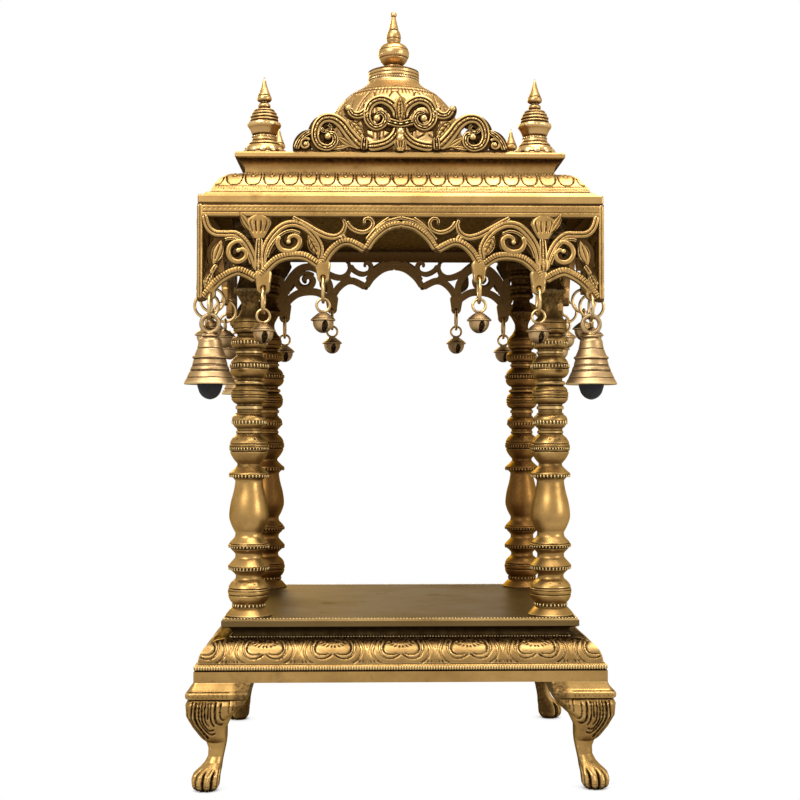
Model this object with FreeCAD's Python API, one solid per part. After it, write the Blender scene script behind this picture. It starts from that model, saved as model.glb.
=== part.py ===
import FreeCAD, Part
import math
import os

# A brass pooja mandir: a small open shrine on four paw legs, with four turned posts, a pierced
# and scalloped valance on each side, a dome with its finial, and bells hung on rings.
# Millimetres, +Z up. The origin is on the ground at the middle of the plan. -Y is the front.

V = FreeCAD.Vector

# Plan. Each half width is measured along X, and the plan is shallower than wide by this much a side.
PLAN_INSET = 14.0
RIM_HALF = 124.5
APRON_HALF = RIM_HALF + 1.3
LIP_HALF = RIM_HALF - 13.7
BASE_NECK_HALF = LIP_HALF - 6.6
CORNICE_HALF = RIM_HALF - 20.6
ROOF_NECK_HALF = CORNICE_HALF - 6.1
POST_X = RIM_HALF - 29.3
POST_Y = POST_X - PLAN_INSET - 0.9
TURRET_X = CORNICE_HALF - 17.2
TURRET_Y = TURRET_X - PLAN_INSET

# Heights above the ground.
LEG_HEIGHT = 66.0
APRON_HEIGHT = 6.6
BASE_ROLL = 4.2
BASE_PETAL_RISE = 12.9
PLATE_RISE = 12.7
PLATE_THICK = 5.4
POST_HEIGHT = 255.2
SLAB_THICK = 5.7
ROOF_PETAL_RISE = 17.6
CORNICE_RISE = 13.0
VALANCE_DROP = 59.6
OVERALL_HEIGHT = 510.0

APRON_TOP = LEG_HEIGHT + APRON_HEIGHT
PETAL_FOOT = APRON_TOP + BASE_ROLL
BASE_TOP = PETAL_FOOT + BASE_PETAL_RISE
PLATE_TOP = BASE_TOP + PLATE_RISE
CEILING = PLATE_TOP + POST_HEIGHT
SLAB_TOP = CEILING + SLAB_THICK
ROOF_NECK = SLAB_TOP + ROOF_PETAL_RISE
CORNICE_TOP = ROOF_NECK + CORNICE_RISE

# Castings and wire.
BASE_WALL = 9.0
CORNER_ROUND = 1.2
VALANCE_THICK = 3.0
VALANCE_RECESS = 0.0
CREST_THICK = 4.0
CREST_SETBACK = 2.0
EYE_RADIUS = 1.4
RING_WIRE = 1.0
RING_RADIUS = 7.7
RING_PLAY = 0.25

# Bells.
BELL_MOUTH = 15.8
BELL_HEIGHT = 28.6
BELL_WALL = 1.3
BELL_LOOP_RADIUS = 5.3
BELL_LOOP_WIRE = 1.4
BELL_COLLAR = 3.2
CLAPPER_RADIUS = 7.9
CLAPPER_ROD = 1.1
CLAPPER_BELOW_MOUTH = 9.2
STAPLE_RADIUS = 2.1
STAPLE_WIRE = 0.55
JINGLE_RADIUS = 7.6
JINGLE_WALL = 0.9
JINGLE_SLOT = 1.6
JINGLE_LOOP_RADIUS = 4.0
JINGLE_LOOP_WIRE = 0.85

# Dome and finials.
DOME_RADIUS = 49.0
DOME_RISE = 65.6
DRUM_RADIUS = 17.8
DRUM_RISE = 9.6
KALASH_RISE = OVERALL_HEIGHT - CORNICE_TOP - DOME_RISE - DRUM_RISE
KALASH_RADIUS = 10.9
TURRET_RADIUS = 10.5
TURRET_RISE = 51.4

BIG = 1000.0


# Outlines and sweeps

def edge_chain(points):
    """Edges through a chain: each step is a point, or (through, end) for an arc."""
    edges = []
    here = points[0]
    for step in points[1:]:
        if isinstance(step, tuple):
            through, end = step
            edges.append(Part.Arc(here, through, end).toShape())
        else:
            end = step
            edges.append(Part.LineSegment(here, end).toShape())
        here = end
    return edges


def turned(profile, centre=V(0, 0, 0)):
    """Solid of revolution from (radius, height) steps, bottom to top; an arc step is (mid, end)."""
    def at(pair):
        return V(pair[0], 0, pair[1])

    chain = [V(0, 0, profile[0][1])]
    for step in profile:
        if isinstance(step[0], tuple):
            chain.append((at(step[0]), at(step[1])))
        else:
            chain.append(at(step))
    last = profile[-1]
    end_height = last[1][1] if isinstance(last[0], tuple) else last[1]
    end_radius = last[1][0] if isinstance(last[0], tuple) else last[0]
    if end_radius > 0:
        chain.append(V(0, 0, end_height))
    edges = edge_chain(chain)
    edges.append(Part.LineSegment(V(0, 0, end_height), V(0, 0, profile[0][1])).toShape())
    face = Part.Face(Part.Wire(edges))
    solid = face.revolve(V(0, 0, 0), V(0, 0, 1), 360)
    solid.translate(centre)
    return solid


def side_prism(profile, inset, turn):
    """Prism whose section is the profile and its mirror image, run along Y, or along X if turned."""
    def right(pair):
        return V(pair[0] - inset, -BIG / 2, pair[1])

    def left(pair):
        return V(inset - pair[0], -BIG / 2, pair[1])

    first = profile[0]
    up = [right(first)]
    for step in profile[1:]:
        up.append((right(step[0]), right(step[1])) if isinstance(step[0], tuple) else right(step))
    ends = [step[1] if isinstance(step[0], tuple) else step for step in profile]
    down = [left(ends[-1])]
    for index in range(len(profile) - 1, 0, -1):
        step = profile[index]
        if isinstance(step[0], tuple):
            down.append((left(step[0]), left(ends[index - 1])))
        else:
            down.append(left(ends[index - 1]))
    edges = edge_chain(up)
    edges.append(Part.LineSegment(right(ends[-1]), left(ends[-1])).toShape())
    edges += edge_chain(down)
    edges.append(Part.LineSegment(left(first), right(first)).toShape())
    prism = Part.Face(Part.Wire(edges)).extrude(V(0, BIG, 0))
    if turn:
        prism.rotate(V(0, 0, 0), V(0, 0, 1), 90)
    return prism


def moulding(profile):
    """Rectangular moulding with mitred corners: the same profile on all four sides."""
    across = side_prism(profile, 0.0, False)
    along = side_prism(profile, PLAN_INSET, True)
    return across.common(along)


def ribbon(points, start_width, end_width):
    """Flat scroll of tapering width through (u, v) points, as a face in the u-v plane."""
    curve = Part.BSplineCurve()
    curve.interpolate([V(u, 0, v) for u, v in points])
    first, last = curve.FirstParameter, curve.LastParameter
    steps = 2 * len(points)
    left, right = [], []
    for index in range(steps + 1):
        share = index / steps
        parameter = first + share * (last - first)
        point = curve.value(parameter)
        direction = curve.tangent(parameter)[0]
        half = (start_width + share * (end_width - start_width)) / 2
        normal = V(-direction.z, 0, direction.x) * half
        left.append(point + normal)
        right.append(point - normal)
    edge_a, edge_b = Part.BSplineCurve(), Part.BSplineCurve()
    edge_a.interpolate(left)
    edge_b.interpolate(right)
    tip = curve.value(last) + curve.tangent(last)[0] * (end_width / 2)
    tail = curve.value(first) - curve.tangent(first)[0] * (start_width / 2)
    outline = [
        edge_a.toShape(),
        Part.Arc(left[-1], tip, right[-1]).toShape(),
        edge_b.toShape(),
        Part.Arc(left[0], tail, right[0]).toShape(),
    ]
    return Part.Face(Part.Wire(Part.__sortEdges__(outline)))


def volute(centre, outer, inner, start, sweep):
    """Points on a spiral from the outer to the inner radius; angles in degrees, + is anticlockwise."""
    count = max(5, int(abs(sweep) / 40))
    points = []
    for index in range(count + 1):
        share = index / count
        radius = outer + share * (inner - outer)
        angle = math.radians(start + share * sweep)
        points.append((centre[0] + radius * math.cos(angle), centre[1] + radius * math.sin(angle)))
    return points


def almond(centre, half_length, half_width, tilt):
    """Pointed leaf as a face: two arcs tip to tip, tilted by that many degrees."""
    along = V(math.cos(math.radians(tilt)), 0, math.sin(math.radians(tilt)))
    across = V(-along.z, 0, along.x)
    middle = V(centre[0], 0, centre[1])
    tip_a = middle + along * half_length
    tip_b = middle - along * half_length
    upper = Part.Arc(tip_a, middle + across * half_width, tip_b).toShape()
    lower = Part.Arc(tip_b, middle - across * half_width, tip_a).toShape()
    return Part.Face(Part.Wire([upper, lower]))


def disc(centre, radius):
    """Round face in the u-v plane."""
    circle = Part.Circle(V(centre[0], 0, centre[1]), V(0, 1, 0), radius)
    return Part.Face(Part.Wire([circle.toShape()]))


def panel(corners):
    """Face from (u, v) corners."""
    points = [V(u, 0, v) for u, v in corners]
    return Part.Face(Part.makePolygon(points + [points[0]]))


def openwork(faces, holes, depth):
    """Plate of that depth about Y = 0 that covers the faces and is open everywhere else."""
    sheet = panel([(-BIG, -BIG), (BIG, -BIG), (BIG, BIG), (-BIG, BIG)])
    gaps = sheet.cut(faces).Faces + holes
    plate = sheet.cut(gaps)
    plate.translate(V(0, -depth / 2, 0))
    return plate.extrude(V(0, depth, 0))


def mirrored(shapes):
    """The shapes and their mirror images across the middle plane X = 0."""
    return shapes + [shape.mirror(V(0, 0, 0), V(1, 0, 0)) for shape in shapes]


def fused(solids):
    """One solid from pieces that overlap."""
    return solids[0].multiFuse(solids[1:]).removeSplitter()


# Base

def base_profile():
    """Apron, bead roll and the swelling petal band."""
    roll = APRON_HALF - 1.2
    return [
        (APRON_HALF, LEG_HEIGHT),
        (APRON_HALF, APRON_TOP),
        (roll - 0.8, APRON_TOP),
        ((roll + 0.9, APRON_TOP + BASE_ROLL / 2), (roll - 0.8, PETAL_FOOT)),
        (roll - 1.6, PETAL_FOOT),
        ((roll - 4.0, PETAL_FOOT + 0.62 * BASE_PETAL_RISE), (BASE_NECK_HALF + 1.6, BASE_TOP - 0.6)),
        (BASE_NECK_HALF + 1.6, BASE_TOP),
    ]


def base_moulding():
    """Cast frame of the base: open below, with a wall that follows the outside."""
    body = moulding(base_profile())
    hollow = [
        (APRON_HALF - BASE_WALL, LEG_HEIGHT - 1),
        (APRON_HALF - BASE_WALL, APRON_TOP),
        (BASE_NECK_HALF - BASE_WALL, BASE_TOP - 4.0),
    ]
    return body.cut(moulding(hollow))


def base_plate():
    """Shrine floor: a slab with a coved edge under its lip."""
    lip_foot = PLATE_TOP - PLATE_THICK
    return moulding([
        (BASE_NECK_HALF, BASE_TOP),
        (BASE_NECK_HALF, BASE_TOP + 2.6),
        ((BASE_NECK_HALF + 1.2, lip_foot - 1.4), (LIP_HALF - 1.6, lip_foot)),
        (LIP_HALF, lip_foot + 0.8),
        (LIP_HALF, PLATE_TOP - 1.2),
        (LIP_HALF - 1.2, PLATE_TOP),
    ])


# Legs: half plan at each height, as (share of the leg's height, outer face and inner face measured
# outwards from the apron, corner round).
LEG_SECTIONS = [
    (1.0, 0.6, -34.8, 3.0),
    (0.924, 2.6, -34.3, 4.0),
    (0.803, 5.2, -31.0, 7.0),
    (0.691, 4.6, -23.0, 9.0),
    (0.585, 1.2, -19.8, 8.0),
    (0.485, -3.2, -19.6, 7.0),
    (0.425, -6.6, -19.0, 6.0),
    (0.303, -7.6, -17.4, 4.6),
    (0.197, -3.0, -16.4, 5.6),
    (0.098, 1.2, -15.6, 8.0),
    (0.033, 0.4, -14.6, 7.0),
    (0.0, -2.2, -12.4, 4.8),
]
LEG_ROLL_SHARE = 0.885
LEG_ROLL_RADIUS = 2.3
LEG_ROLL_INNER = -33.8
LEG_ROLL_OUTER = 4.8
TOE_COUNT = 4
TOE_RADIUS = 4.1
TOE_STRETCH = 1.5
TOE_REACH = 5.7
TOE_FAN = 44.0


def rounded_square(low, high, height, corner):
    """Square wire with round corners, from low to high along X and, less the inset, along Y."""
    size = high - low
    straight = size - 2 * corner
    middle = V((low + high) / 2, (low + high) / 2 - PLAN_INSET, height)
    edges = []
    for quarter in range(4):
        turn = math.radians(90 * quarter)

        def spin(x, y):
            return middle + V(x * math.cos(turn) - y * math.sin(turn),
                              x * math.sin(turn) + y * math.cos(turn), 0)

        half = size / 2
        diagonal = straight / 2 + corner * math.cos(math.radians(45))
        edges.append(Part.LineSegment(spin(half, -straight / 2), spin(half, straight / 2)).toShape())
        edges.append(Part.Arc(spin(half, straight / 2), spin(diagonal, diagonal),
                              spin(straight / 2, half)).toShape())
    return Part.Wire(edges)


def leg():
    """Cabriole paw leg at the +X +Y corner, its knee and paw turned out along the diagonal."""
    wires = [rounded_square(APRON_HALF + inner, APRON_HALF + outer, share * LEG_HEIGHT, corner)
             for share, outer, inner, corner in LEG_SECTIONS]
    shaft = Part.makeLoft(wires, True, False)
    paw_x = APRON_HALF + (LEG_SECTIONS[-3][1] + LEG_SECTIONS[-3][2]) / 2
    toe = Part.makeSphere(TOE_RADIUS, V(0, 0, TOE_RADIUS))
    stretch = FreeCAD.Matrix()
    stretch.scale(1.0, 1.0, TOE_STRETCH)
    toe = toe.transformGeometry(stretch)
    toes = []
    for index in range(TOE_COUNT):
        angle = math.radians(45 + (index - (TOE_COUNT - 1) / 2) * TOE_FAN)
        copy = toe.copy()
        copy.translate(V(paw_x + TOE_REACH * math.cos(angle),
                         paw_x - PLAN_INSET + TOE_REACH * math.sin(angle), 0))
        toes.append(copy)
    roll_foot = LEG_ROLL_SHARE * LEG_HEIGHT - LEG_ROLL_RADIUS
    path = rounded_square(APRON_HALF + LEG_ROLL_INNER, APRON_HALF + LEG_ROLL_OUTER, roll_foot, 6.0)
    band = Part.Face(path).extrude(V(0, 0, 2 * LEG_ROLL_RADIUS))
    band = band.makeFillet(LEG_ROLL_RADIUS * 0.9, band.Edges)
    return fused([shaft, band] + toes)


def four_corners(solid):
    """A solid made at the +X +Y corner, copied to all four corners by name."""
    across = solid.mirror(V(0, 0, 0), V(1, 0, 0))
    return {
        "rear_right": solid,
        "rear_left": across,
        "front_right": solid.mirror(V(0, 0, 0), V(0, 1, 0)),
        "front_left": across.mirror(V(0, 0, 0), V(0, 1, 0)),
    }


# Posts: turned mouldings from the foot up, as (kind, height, radius)
NECK = 7.6
POST_DRUM = 11.2
POST_TURNINGS = [
    ("foot", 4.4, 14.4),
    ("band", 3.4, 10.5),
    ("bead", 12.6, 12.3),
    ("neck", 4.8, 7.6),
    ("bead", 9.7, 11.9),
    ("neck", 4.3, 7.6),
    ("bead", 10.2, 12.2),
    ("neck", 3.2, 7.7),
    ("vase", 31.2, 11.8),
    ("collar", 8.7, 12.4),
    ("neck", 2.0, 7.2),
    ("bead", 18.4, 12.4),
    ("neck", 4.8, 8.0),
    ("bead", 8.2, 10.9),
    ("neck", 2.4, 8.0),
    ("bead", 2.2, 8.8),
    ("neck", 1.5, 7.8),
    ("bead", 13.5, 11.5),
    ("neck", 2.9, 7.8),
    ("bead", 14.5, 12.2),
    ("neck", 5.6, 8.0),
    ("bead", 7.0, 11.3),
    ("neck", 1.9, 7.6),
    ("bead", 11.2, 12.0),
    ("waist", 8.0, 6.7),
    ("capital", 9.0, 11.3),
    ("taper", 8.6, 9.6),
    ("neck", 1.9, 7.6),
    ("bead", 3.8, 9.4),
    ("neck", 2.4, 7.6),
    ("bead", 3.8, 9.4),
    ("neck", 4.3, 7.8),
    ("bead", 3.6, 10.2),
    ("neck", 1.6, 8.2),
]


def post():
    """One turned post; what is left above the last neck is its plain drum."""
    height = 0.0
    steps = []
    for kind, rise, radius in POST_TURNINGS:
        top = height + rise
        middle = height + rise / 2
        if kind == "foot":
            steps += [(radius, height), (radius, height + 1.2),
                      ((radius - 2.6, middle + 0.6), (NECK + 3.2, top))]
        elif kind in ("band", "neck"):
            steps += [(radius, height), (radius, top)]
        elif kind == "bead":
            steps += [(NECK, height), ((radius, middle), (NECK, top))]
        elif kind == "waist":
            steps += [(NECK, height), ((radius, middle), (radius + 2.4, top))]
        elif kind == "capital":
            steps += [(radius - 2.2, height + 0.3 * rise), (radius, height + 0.66 * rise), (radius, top)]
        elif kind == "taper":
            steps += [(radius + 1.0, height), ((radius - 1.4, middle), (NECK, top))]
        elif kind == "vase":
            belly = height + 0.34 * rise
            steps += [(NECK, height), ((radius - 1.0, height + 0.14 * rise), (radius, belly)),
                      ((radius - 1.4, height + 0.62 * rise), (NECK + 0.6, top))]
        elif kind == "collar":
            lip = height + 0.42 * rise
            steps += [(NECK + 0.9, height + 0.8), (radius, lip - 0.5), (radius, lip + 0.3),
                      ((NECK + 1.8, lip + 0.45 * rise), (NECK, top))]
        height = top
    steps += [(10.0, height), (POST_DRUM, height + 1.4), (POST_DRUM, POST_HEIGHT)]
    return turned(clean_steps(steps), V(POST_X, POST_Y, PLATE_TOP))


def clean_steps(steps):
    """Steps without the points that repeat the one before."""
    kept = []
    for step in steps:
        end = step[1] if isinstance(step[0], tuple) else step
        if kept:
            last = kept[-1]
            before = last[1] if isinstance(last[0], tuple) else last
            if not isinstance(step[0], tuple) and math.dist(before, end) < 1e-6:
                continue
        kept.append(step)
    return kept


# Canopy

def canopy_slab():
    """Flat ceiling plate over the posts and valances."""
    half_y = RIM_HALF - PLAN_INSET
    slab = Part.makeBox(2 * RIM_HALF, 2 * half_y, SLAB_THICK, V(-RIM_HALF, -half_y, CEILING))
    return slab.makeFillet(CORNER_ROUND, slab.Edges)


def canopy_moulding():
    """Petal band, neck and coved cornice in one casting."""
    cove_top = CORNICE_TOP - 4.0
    return moulding([
        (RIM_HALF - 2.5, SLAB_TOP),
        (RIM_HALF - 4.5, SLAB_TOP + 2.0),
        (RIM_HALF - 7.5, SLAB_TOP + 3.0),
        ((RIM_HALF - 12.0, SLAB_TOP + 0.62 * ROOF_PETAL_RISE), (ROOF_NECK_HALF + 0.9, ROOF_NECK - 1.0)),
        (ROOF_NECK_HALF, ROOF_NECK),
        (ROOF_NECK_HALF, ROOF_NECK + 1.8),
        ((ROOF_NECK_HALF + 1.8, cove_top - 2.2), (CORNICE_HALF - 0.6, cove_top)),
        (CORNICE_HALF, cove_top + 0.8),
        (CORNICE_HALF, CORNICE_TOP - 1.0),
        (CORNICE_HALF - 1.0, CORNICE_TOP),
    ])


# Valances: the pierced scrolls of the left half, from the middle out, drawn on the front valance.
# u runs along the valance from its middle, and v down from the ceiling, in units of which the
# half length has VALANCE_DRAWN and the drop has DROP_DRAWN. Widths are in millimetres.
VALANCE_HALF = RIM_HALF - VALANCE_RECESS
VALANCE_DRAWN = 124.5
DROP_DRAWN = 59.6
RAIL_HEIGHT = 8.6
STILE_WIDTH = 3.6
SCALLOP_WIDTH = 3.6
SCALLOPS = [
    [(-120.6, -58.0), (-116.8, -52.6), (-110.3, -46.1), (-101.0, -41.4), (-94.5, -42.8), (-88.0, -46.4)],
    [(-86.4, -45.8), (-81.4, -38.6), (-74.9, -33.5), (-66.5, -31.6), (-58.1, -32.5), (-49.8, -37.6)],
    [(-48.6, -37.4), (-43.7, -29.3), (-37.6, -24.1), (-32.0, -23.2), (-26.4, -25.5), (-21.8, -28.2)],
    [(-21.8, -27.8), (-17.1, -20.9), (-10.6, -15.3), (-5.0, -12.9), (0.0, -12.3)],
]
SCROLLS = [
    ([(-120.4, -7.0), (-118.2, -14.3), (-114.0, -18.1), (-107.5, -18.5), (-101.0, -19.0),
      (-95.4, -23.7), (-91.2, -31.1), (-88.2, -40.5)], 3.4, 4.6),
    ([(-106.0, -20.6), (-113.1, -23.2), (-116.9, -28.5), (-116.6, -35.5), (-113.4, -41.0),
      (-111.4, -45.5)], 2.6, 2.2),
    ([(-84.9, -38.6), (-83.3, -28.4), (-79.6, -20.9), (-73.0, -14.3), (-65.6, -12.5),
      (-58.1, -15.3), (-52.5, -20.9), (-49.3, -27.4), (-50.0, -34.4)], 4.4, 3.2),
    ([(-64.5, -8.2), (-54.4, -14.4), (-46.9, -19.7), (-40.4, -20.7), (-35.8, -17.1),
      (-34.3, -12.5), (-36.6, -8.0)], 3.4, 2.6),
    ([(-34.4, -13.0), (-29.2, -17.1), (-23.6, -18.5), (-19.4, -15.3), (-19.2, -11.0),
      (-22.2, -9.4)], 2.8, 2.0),
    ([(-21.0, -17.2), (-13.4, -11.5), (-7.8, -8.2)], 2.4, 2.6),
    ([(-36.6, -19.0), (-34.0, -23.4)], 3.6, 3.6),
]
VOLUTES = [
    ((-100.3, -30.4), 5.6, 1.3, 128.0, 400.0, 2.7, 2.2),
    ((-68.2, -22.6), 6.2, 1.4, 165.0, 420.0, 3.0, 2.3),
]
LINKS = [
    ([(-97.4, -20.6), (-101.0, -24.0), (-104.0, -27.0)], 2.6, 2.6),
    ([(-100.6, -35.2), (-100.6, -40.6)], 2.2, 2.8),
    ([(-68.0, -27.8), (-68.0, -32.0)], 3.4, 3.8),
    ([(-73.6, -21.0), (-76.6, -25.4), (-80.2, -30.0)], 2.2, 2.8),
    ([(-116.6, -41.0), (-119.8, -46.0), (-121.4, -51.0)], 2.0, 2.0),
]
LEAVES = [
    ((-111.6, -30.6), 11.5, 2.8, 72.0),
    ((-117.0, -46.4), 6.2, 2.1, 60.0),
    ((-53.6, -25.6), 7.0, 3.3, 118.0),
]
PALMETTE = [(-89.6, -25.0), (-94.8, -13.0), (-96.0, -7.0), (-79.6, -7.0), (-80.6, -13.0), (-85.4, -25.0)]
PALMETTE_STEM = ([(-87.5, -23.0), (-87.2, -34.0), (-86.6, -44.0)], 4.6, 4.0)
EYES = [(-84.3, -51.6, 4.0), (-47.8, -45.0, 3.7)]
BELL_EYE = (-116.7, -55.6, 3.3)
LUG_RISE = 8.0
LUG_TAPER = 0.7


def valance(half_length, with_bell_eyes):
    """Pierced plate in the X-Z plane about Y = 0, hung from the ceiling."""
    stretch = half_length / VALANCE_DRAWN
    drop = VALANCE_DROP / DROP_DRAWN

    def place(points):
        return [(u * stretch, CEILING + v * drop) for u, v in points]

    faces = [ribbon(place(line), SCALLOP_WIDTH, SCALLOP_WIDTH) for line in SCALLOPS]
    for line, start, end in SCROLLS + LINKS + [PALMETTE_STEM]:
        faces.append(ribbon(place(line), start, end))
    for centre, outer, inner, start, sweep, wide, narrow in VOLUTES:
        middle = place([centre])[0]
        faces.append(ribbon(volute(middle, outer, inner, start, sweep), wide, narrow))
    for centre, length, width, tilt in LEAVES:
        faces.append(almond(place([centre])[0], length, width, tilt))
    faces.append(panel(place(PALMETTE)))
    holes = []
    for u, v, radius in EYES + ([BELL_EYE] if with_bell_eyes else []):
        x, z = place([(u, v)])[0]
        faces.append(disc((x, z), radius))
        faces.append(panel([(x - radius, z), (x - LUG_TAPER * radius, z + LUG_RISE),
                            (x + LUG_TAPER * radius, z + LUG_RISE), (x + radius, z)]))
        holes.append(disc((x, z), EYE_RADIUS))
    edge = -half_length
    stile = edge + STILE_WIDTH
    faces.append(panel([(edge, CEILING - VALANCE_DROP), (stile, CEILING - VALANCE_DROP),
                        (stile, CEILING), (edge, CEILING)]))
    faces.append(panel([(edge, CEILING - RAIL_HEIGHT), (0, CEILING - RAIL_HEIGHT),
                        (0, CEILING), (edge, CEILING)]))
    return openwork(mirrored(faces), mirrored(holes), VALANCE_THICK)


# Crest: scrolls of its left half. v is up from the cornice.
CREST_HALF = 0.65 * CORNICE_HALF
CREST_RAIL = 1.8
CREST_DRAWN = 67.5
CREST_SCROLLS = [
    ([(-66.0, 1.0), (-65.6, 6.0), (-62.4, 10.6), (-57.6, 12.6)], 3.2, 3.0),
    ([(-26.4, 1.6), (-31.2, 6.6), (-35.0, 13.0), (-39.6, 19.0), (-45.4, 21.6), (-51.2, 20.4),
      (-55.4, 15.6), (-56.4, 9.4), (-54.0, 3.8), (-48.8, 2.2), (-44.4, 5.2), (-44.6, 9.6),
      (-48.6, 10.0)], 5.0, 3.0),
    ([(-42.0, 17.0), (-45.8, 17.4), (-48.6, 15.4), (-48.4, 12.4)], 2.4, 2.2),
    ([(-21.4, 2.4), (-14.6, 3.8), (-8.4, 7.2), (-3.8, 12.6), (-2.6, 18.4), (-4.4, 24.4),
      (-8.6, 29.4), (-13.8, 31.4), (-19.2, 30.0), (-22.8, 25.6), (-23.2, 20.2), (-19.8, 16.0),
      (-15.0, 16.0), (-12.6, 19.6), (-14.6, 23.2), (-18.0, 22.2)], 5.0, 2.8),
    ([(-21.6, 27.4), (-26.0, 23.4), (-30.4, 22.4), (-33.8, 24.8), (-34.0, 28.4)], 4.0, 2.4),
    ([(-22.0, 18.0), (-22.6, 11.0), (-23.8, 2.0)], 3.0, 4.6),
    ([(-60.6, 3.0), (-58.4, 7.4), (-58.6, 11.0)], 3.4, 2.4),
]
CREST_CURL = ((-61.0, 5.0), 3.6, 1.2, 40.0, 400.0, 2.0, 1.8)
CREST_TIE = [(-8.4, 16.6), (0.0, 15.0), (8.4, 16.6)]
CREST_TIE_WIDTH = 5.2
CREST_LEAF = ((0.0, 27.0), 8.2, 3.6, 90.0)
CREST_TASSEL = ([(0.0, 15.0), (0.0, 8.0), (0.0, 1.0)], 3.0, 4.8)


def crest():
    """Openwork crest of paired scrolls that stands on the front of the cornice."""
    stretch = CREST_HALF / CREST_DRAWN

    def place(points):
        return [(u * stretch, CORNICE_TOP + v * stretch) for u, v in points]

    faces = [ribbon(place(line), start, end) for line, start, end in CREST_SCROLLS]
    centre, outer, inner, start, sweep, wide, narrow = CREST_CURL
    faces.append(ribbon(volute(place([centre])[0], outer, inner, start, sweep), wide, narrow))
    faces.append(panel(place([(-CREST_DRAWN, 0), (0, 0), (0, CREST_RAIL), (1 - CREST_DRAWN, CREST_RAIL)])))
    middle = [ribbon(place(CREST_TIE), CREST_TIE_WIDTH, CREST_TIE_WIDTH),
              almond(place([CREST_LEAF[0]])[0], *CREST_LEAF[1:]),
              ribbon(place(CREST_TASSEL[0]), *CREST_TASSEL[1:])]
    below = panel([(-BIG, CORNICE_TOP - BIG), (BIG, CORNICE_TOP - BIG), (BIG, CORNICE_TOP),
                   (-BIG, CORNICE_TOP)])
    plate = openwork(mirrored(faces) + middle, [below], CREST_THICK)
    front = CORNICE_HALF - PLAN_INSET - CREST_SETBACK - CREST_THICK / 2
    plate.translate(V(0, -front, 0))
    return plate


# Dome, drum and finials

def dome():
    """Low dome with a plinth ring and a smooth shoulder below the drum."""
    foot = CORNICE_TOP
    top = CORNICE_TOP + DOME_RISE
    return turned([
        (DOME_RADIUS + 1.6, foot),
        (DOME_RADIUS + 1.6, foot + 3.0),
        (DOME_RADIUS, foot + 4.0),
        ((DOME_RADIUS - 2.0, foot + 0.4 * DOME_RISE), (DOME_RADIUS - 10.4, foot + 0.72 * DOME_RISE)),
        ((DOME_RADIUS - 17.4, foot + 0.85 * DOME_RISE), (DRUM_RADIUS + 7.4, top - 3.2)),
        (DRUM_RADIUS + 2.2, top),
    ])


def drum():
    """Banded drum between the dome and the kalash."""
    foot = CORNICE_TOP + DOME_RISE
    top = foot + DRUM_RISE
    return turned([
        (DRUM_RADIUS - 0.6, foot),
        (DRUM_RADIUS - 0.6, foot + 1.4),
        (DRUM_RADIUS, foot + 1.8),
        (DRUM_RADIUS, top - 3.4),
        (DRUM_RADIUS - 0.9, top - 3.1),
        (DRUM_RADIUS - 0.9, top - 2.6),
        (DRUM_RADIUS - 0.2, top - 2.3),
        ((DRUM_RADIUS - 2.6, top - 0.9), (DRUM_RADIUS - 6.4, top)),
    ])


def kalash():
    """Pot finial: foot, pot, small ball and spire with a knob."""
    foot = OVERALL_HEIGHT - KALASH_RISE
    pot_foot = foot + 3.4
    pot_top = pot_foot + 15.6
    ball_top = pot_top + 9.0
    knob = OVERALL_HEIGHT - 3.8
    return turned([
        (KALASH_RADIUS - 1.4, foot),
        (KALASH_RADIUS - 1.6, foot + 1.0),
        ((6.2, foot + 2.0), (6.0, pot_foot)),
        ((KALASH_RADIUS, pot_foot + 7.2), (4.4, pot_top)),
        ((5.1, pot_top + 4.4), (3.9, ball_top)),
        ((2.4, (ball_top + knob) / 2 - 0.6), (1.4, knob)),
        ((2.2, knob + 2.0), (0.5, OVERALL_HEIGHT)),
    ])


def turret():
    """Corner finial: moulded foot, bowl, three stepped tiers and a bud."""
    foot = CORNICE_TOP
    radius = TURRET_RADIUS
    bowl = foot + 12.6
    rim = bowl + 8.6
    bud = rim + 17.6
    return turned([
        (radius, foot),
        (radius, foot + 2.6),
        ((radius - 2.2, foot + 4.6), (radius - 2.7, foot + 9.4)),
        (radius - 3.4, bowl - 1.6),
        (radius - 3.4, bowl),
        ((radius - 1.2, bowl + 3.0), (radius - 0.1, rim - 1.6)),
        ((radius + 0.3, rim - 0.8), (radius - 0.6, rim)),
        (radius - 2.0, rim + 0.2),
        (radius - 2.0, rim + 0.9),
        ((radius - 1.7, rim + 2.0), (radius - 2.9, rim + 3.0)),
        (radius - 3.4, rim + 3.4),
        ((radius - 3.2, rim + 4.8), (radius - 4.6, rim + 5.8)),
        (radius - 5.2, rim + 6.2),
        ((radius - 5.0, rim + 7.6), (radius - 7.0, rim + 8.8)),
        (2.6, rim + 10.6),
        ((3.3, rim + 12.2), (2.3, rim + 13.8)),
        (2.2, rim + 15.6),
        ((4.0, bud - 0.6), (4.7, bud + 1.6)),
        ((3.0, bud + 6.6), (0.5, foot + TURRET_RISE)),
    ], V(TURRET_X, TURRET_Y, 0))


# Bells, made hanging from an eye at the origin of a valance in the X-Z plane

def hanging_ring():
    """Split ring through the valance's eye, seen edge-on from the front."""
    ring = Part.makeTorus(RING_RADIUS, RING_WIRE, V(0, 0, -RING_RADIUS), V(1, 0, 0))
    return ring


def loop_below(radius, wire):
    """Loop that the ring carries: its upper inside lies just over the ring's lowest wire."""
    ring_low = -2 * RING_RADIUS
    crown = ring_low + RING_WIRE + RING_PLAY
    centre = crown + wire - radius
    return Part.makeTorus(radius, wire, V(0, 0, centre), V(0, 1, 0)), centre - radius - wire


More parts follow.
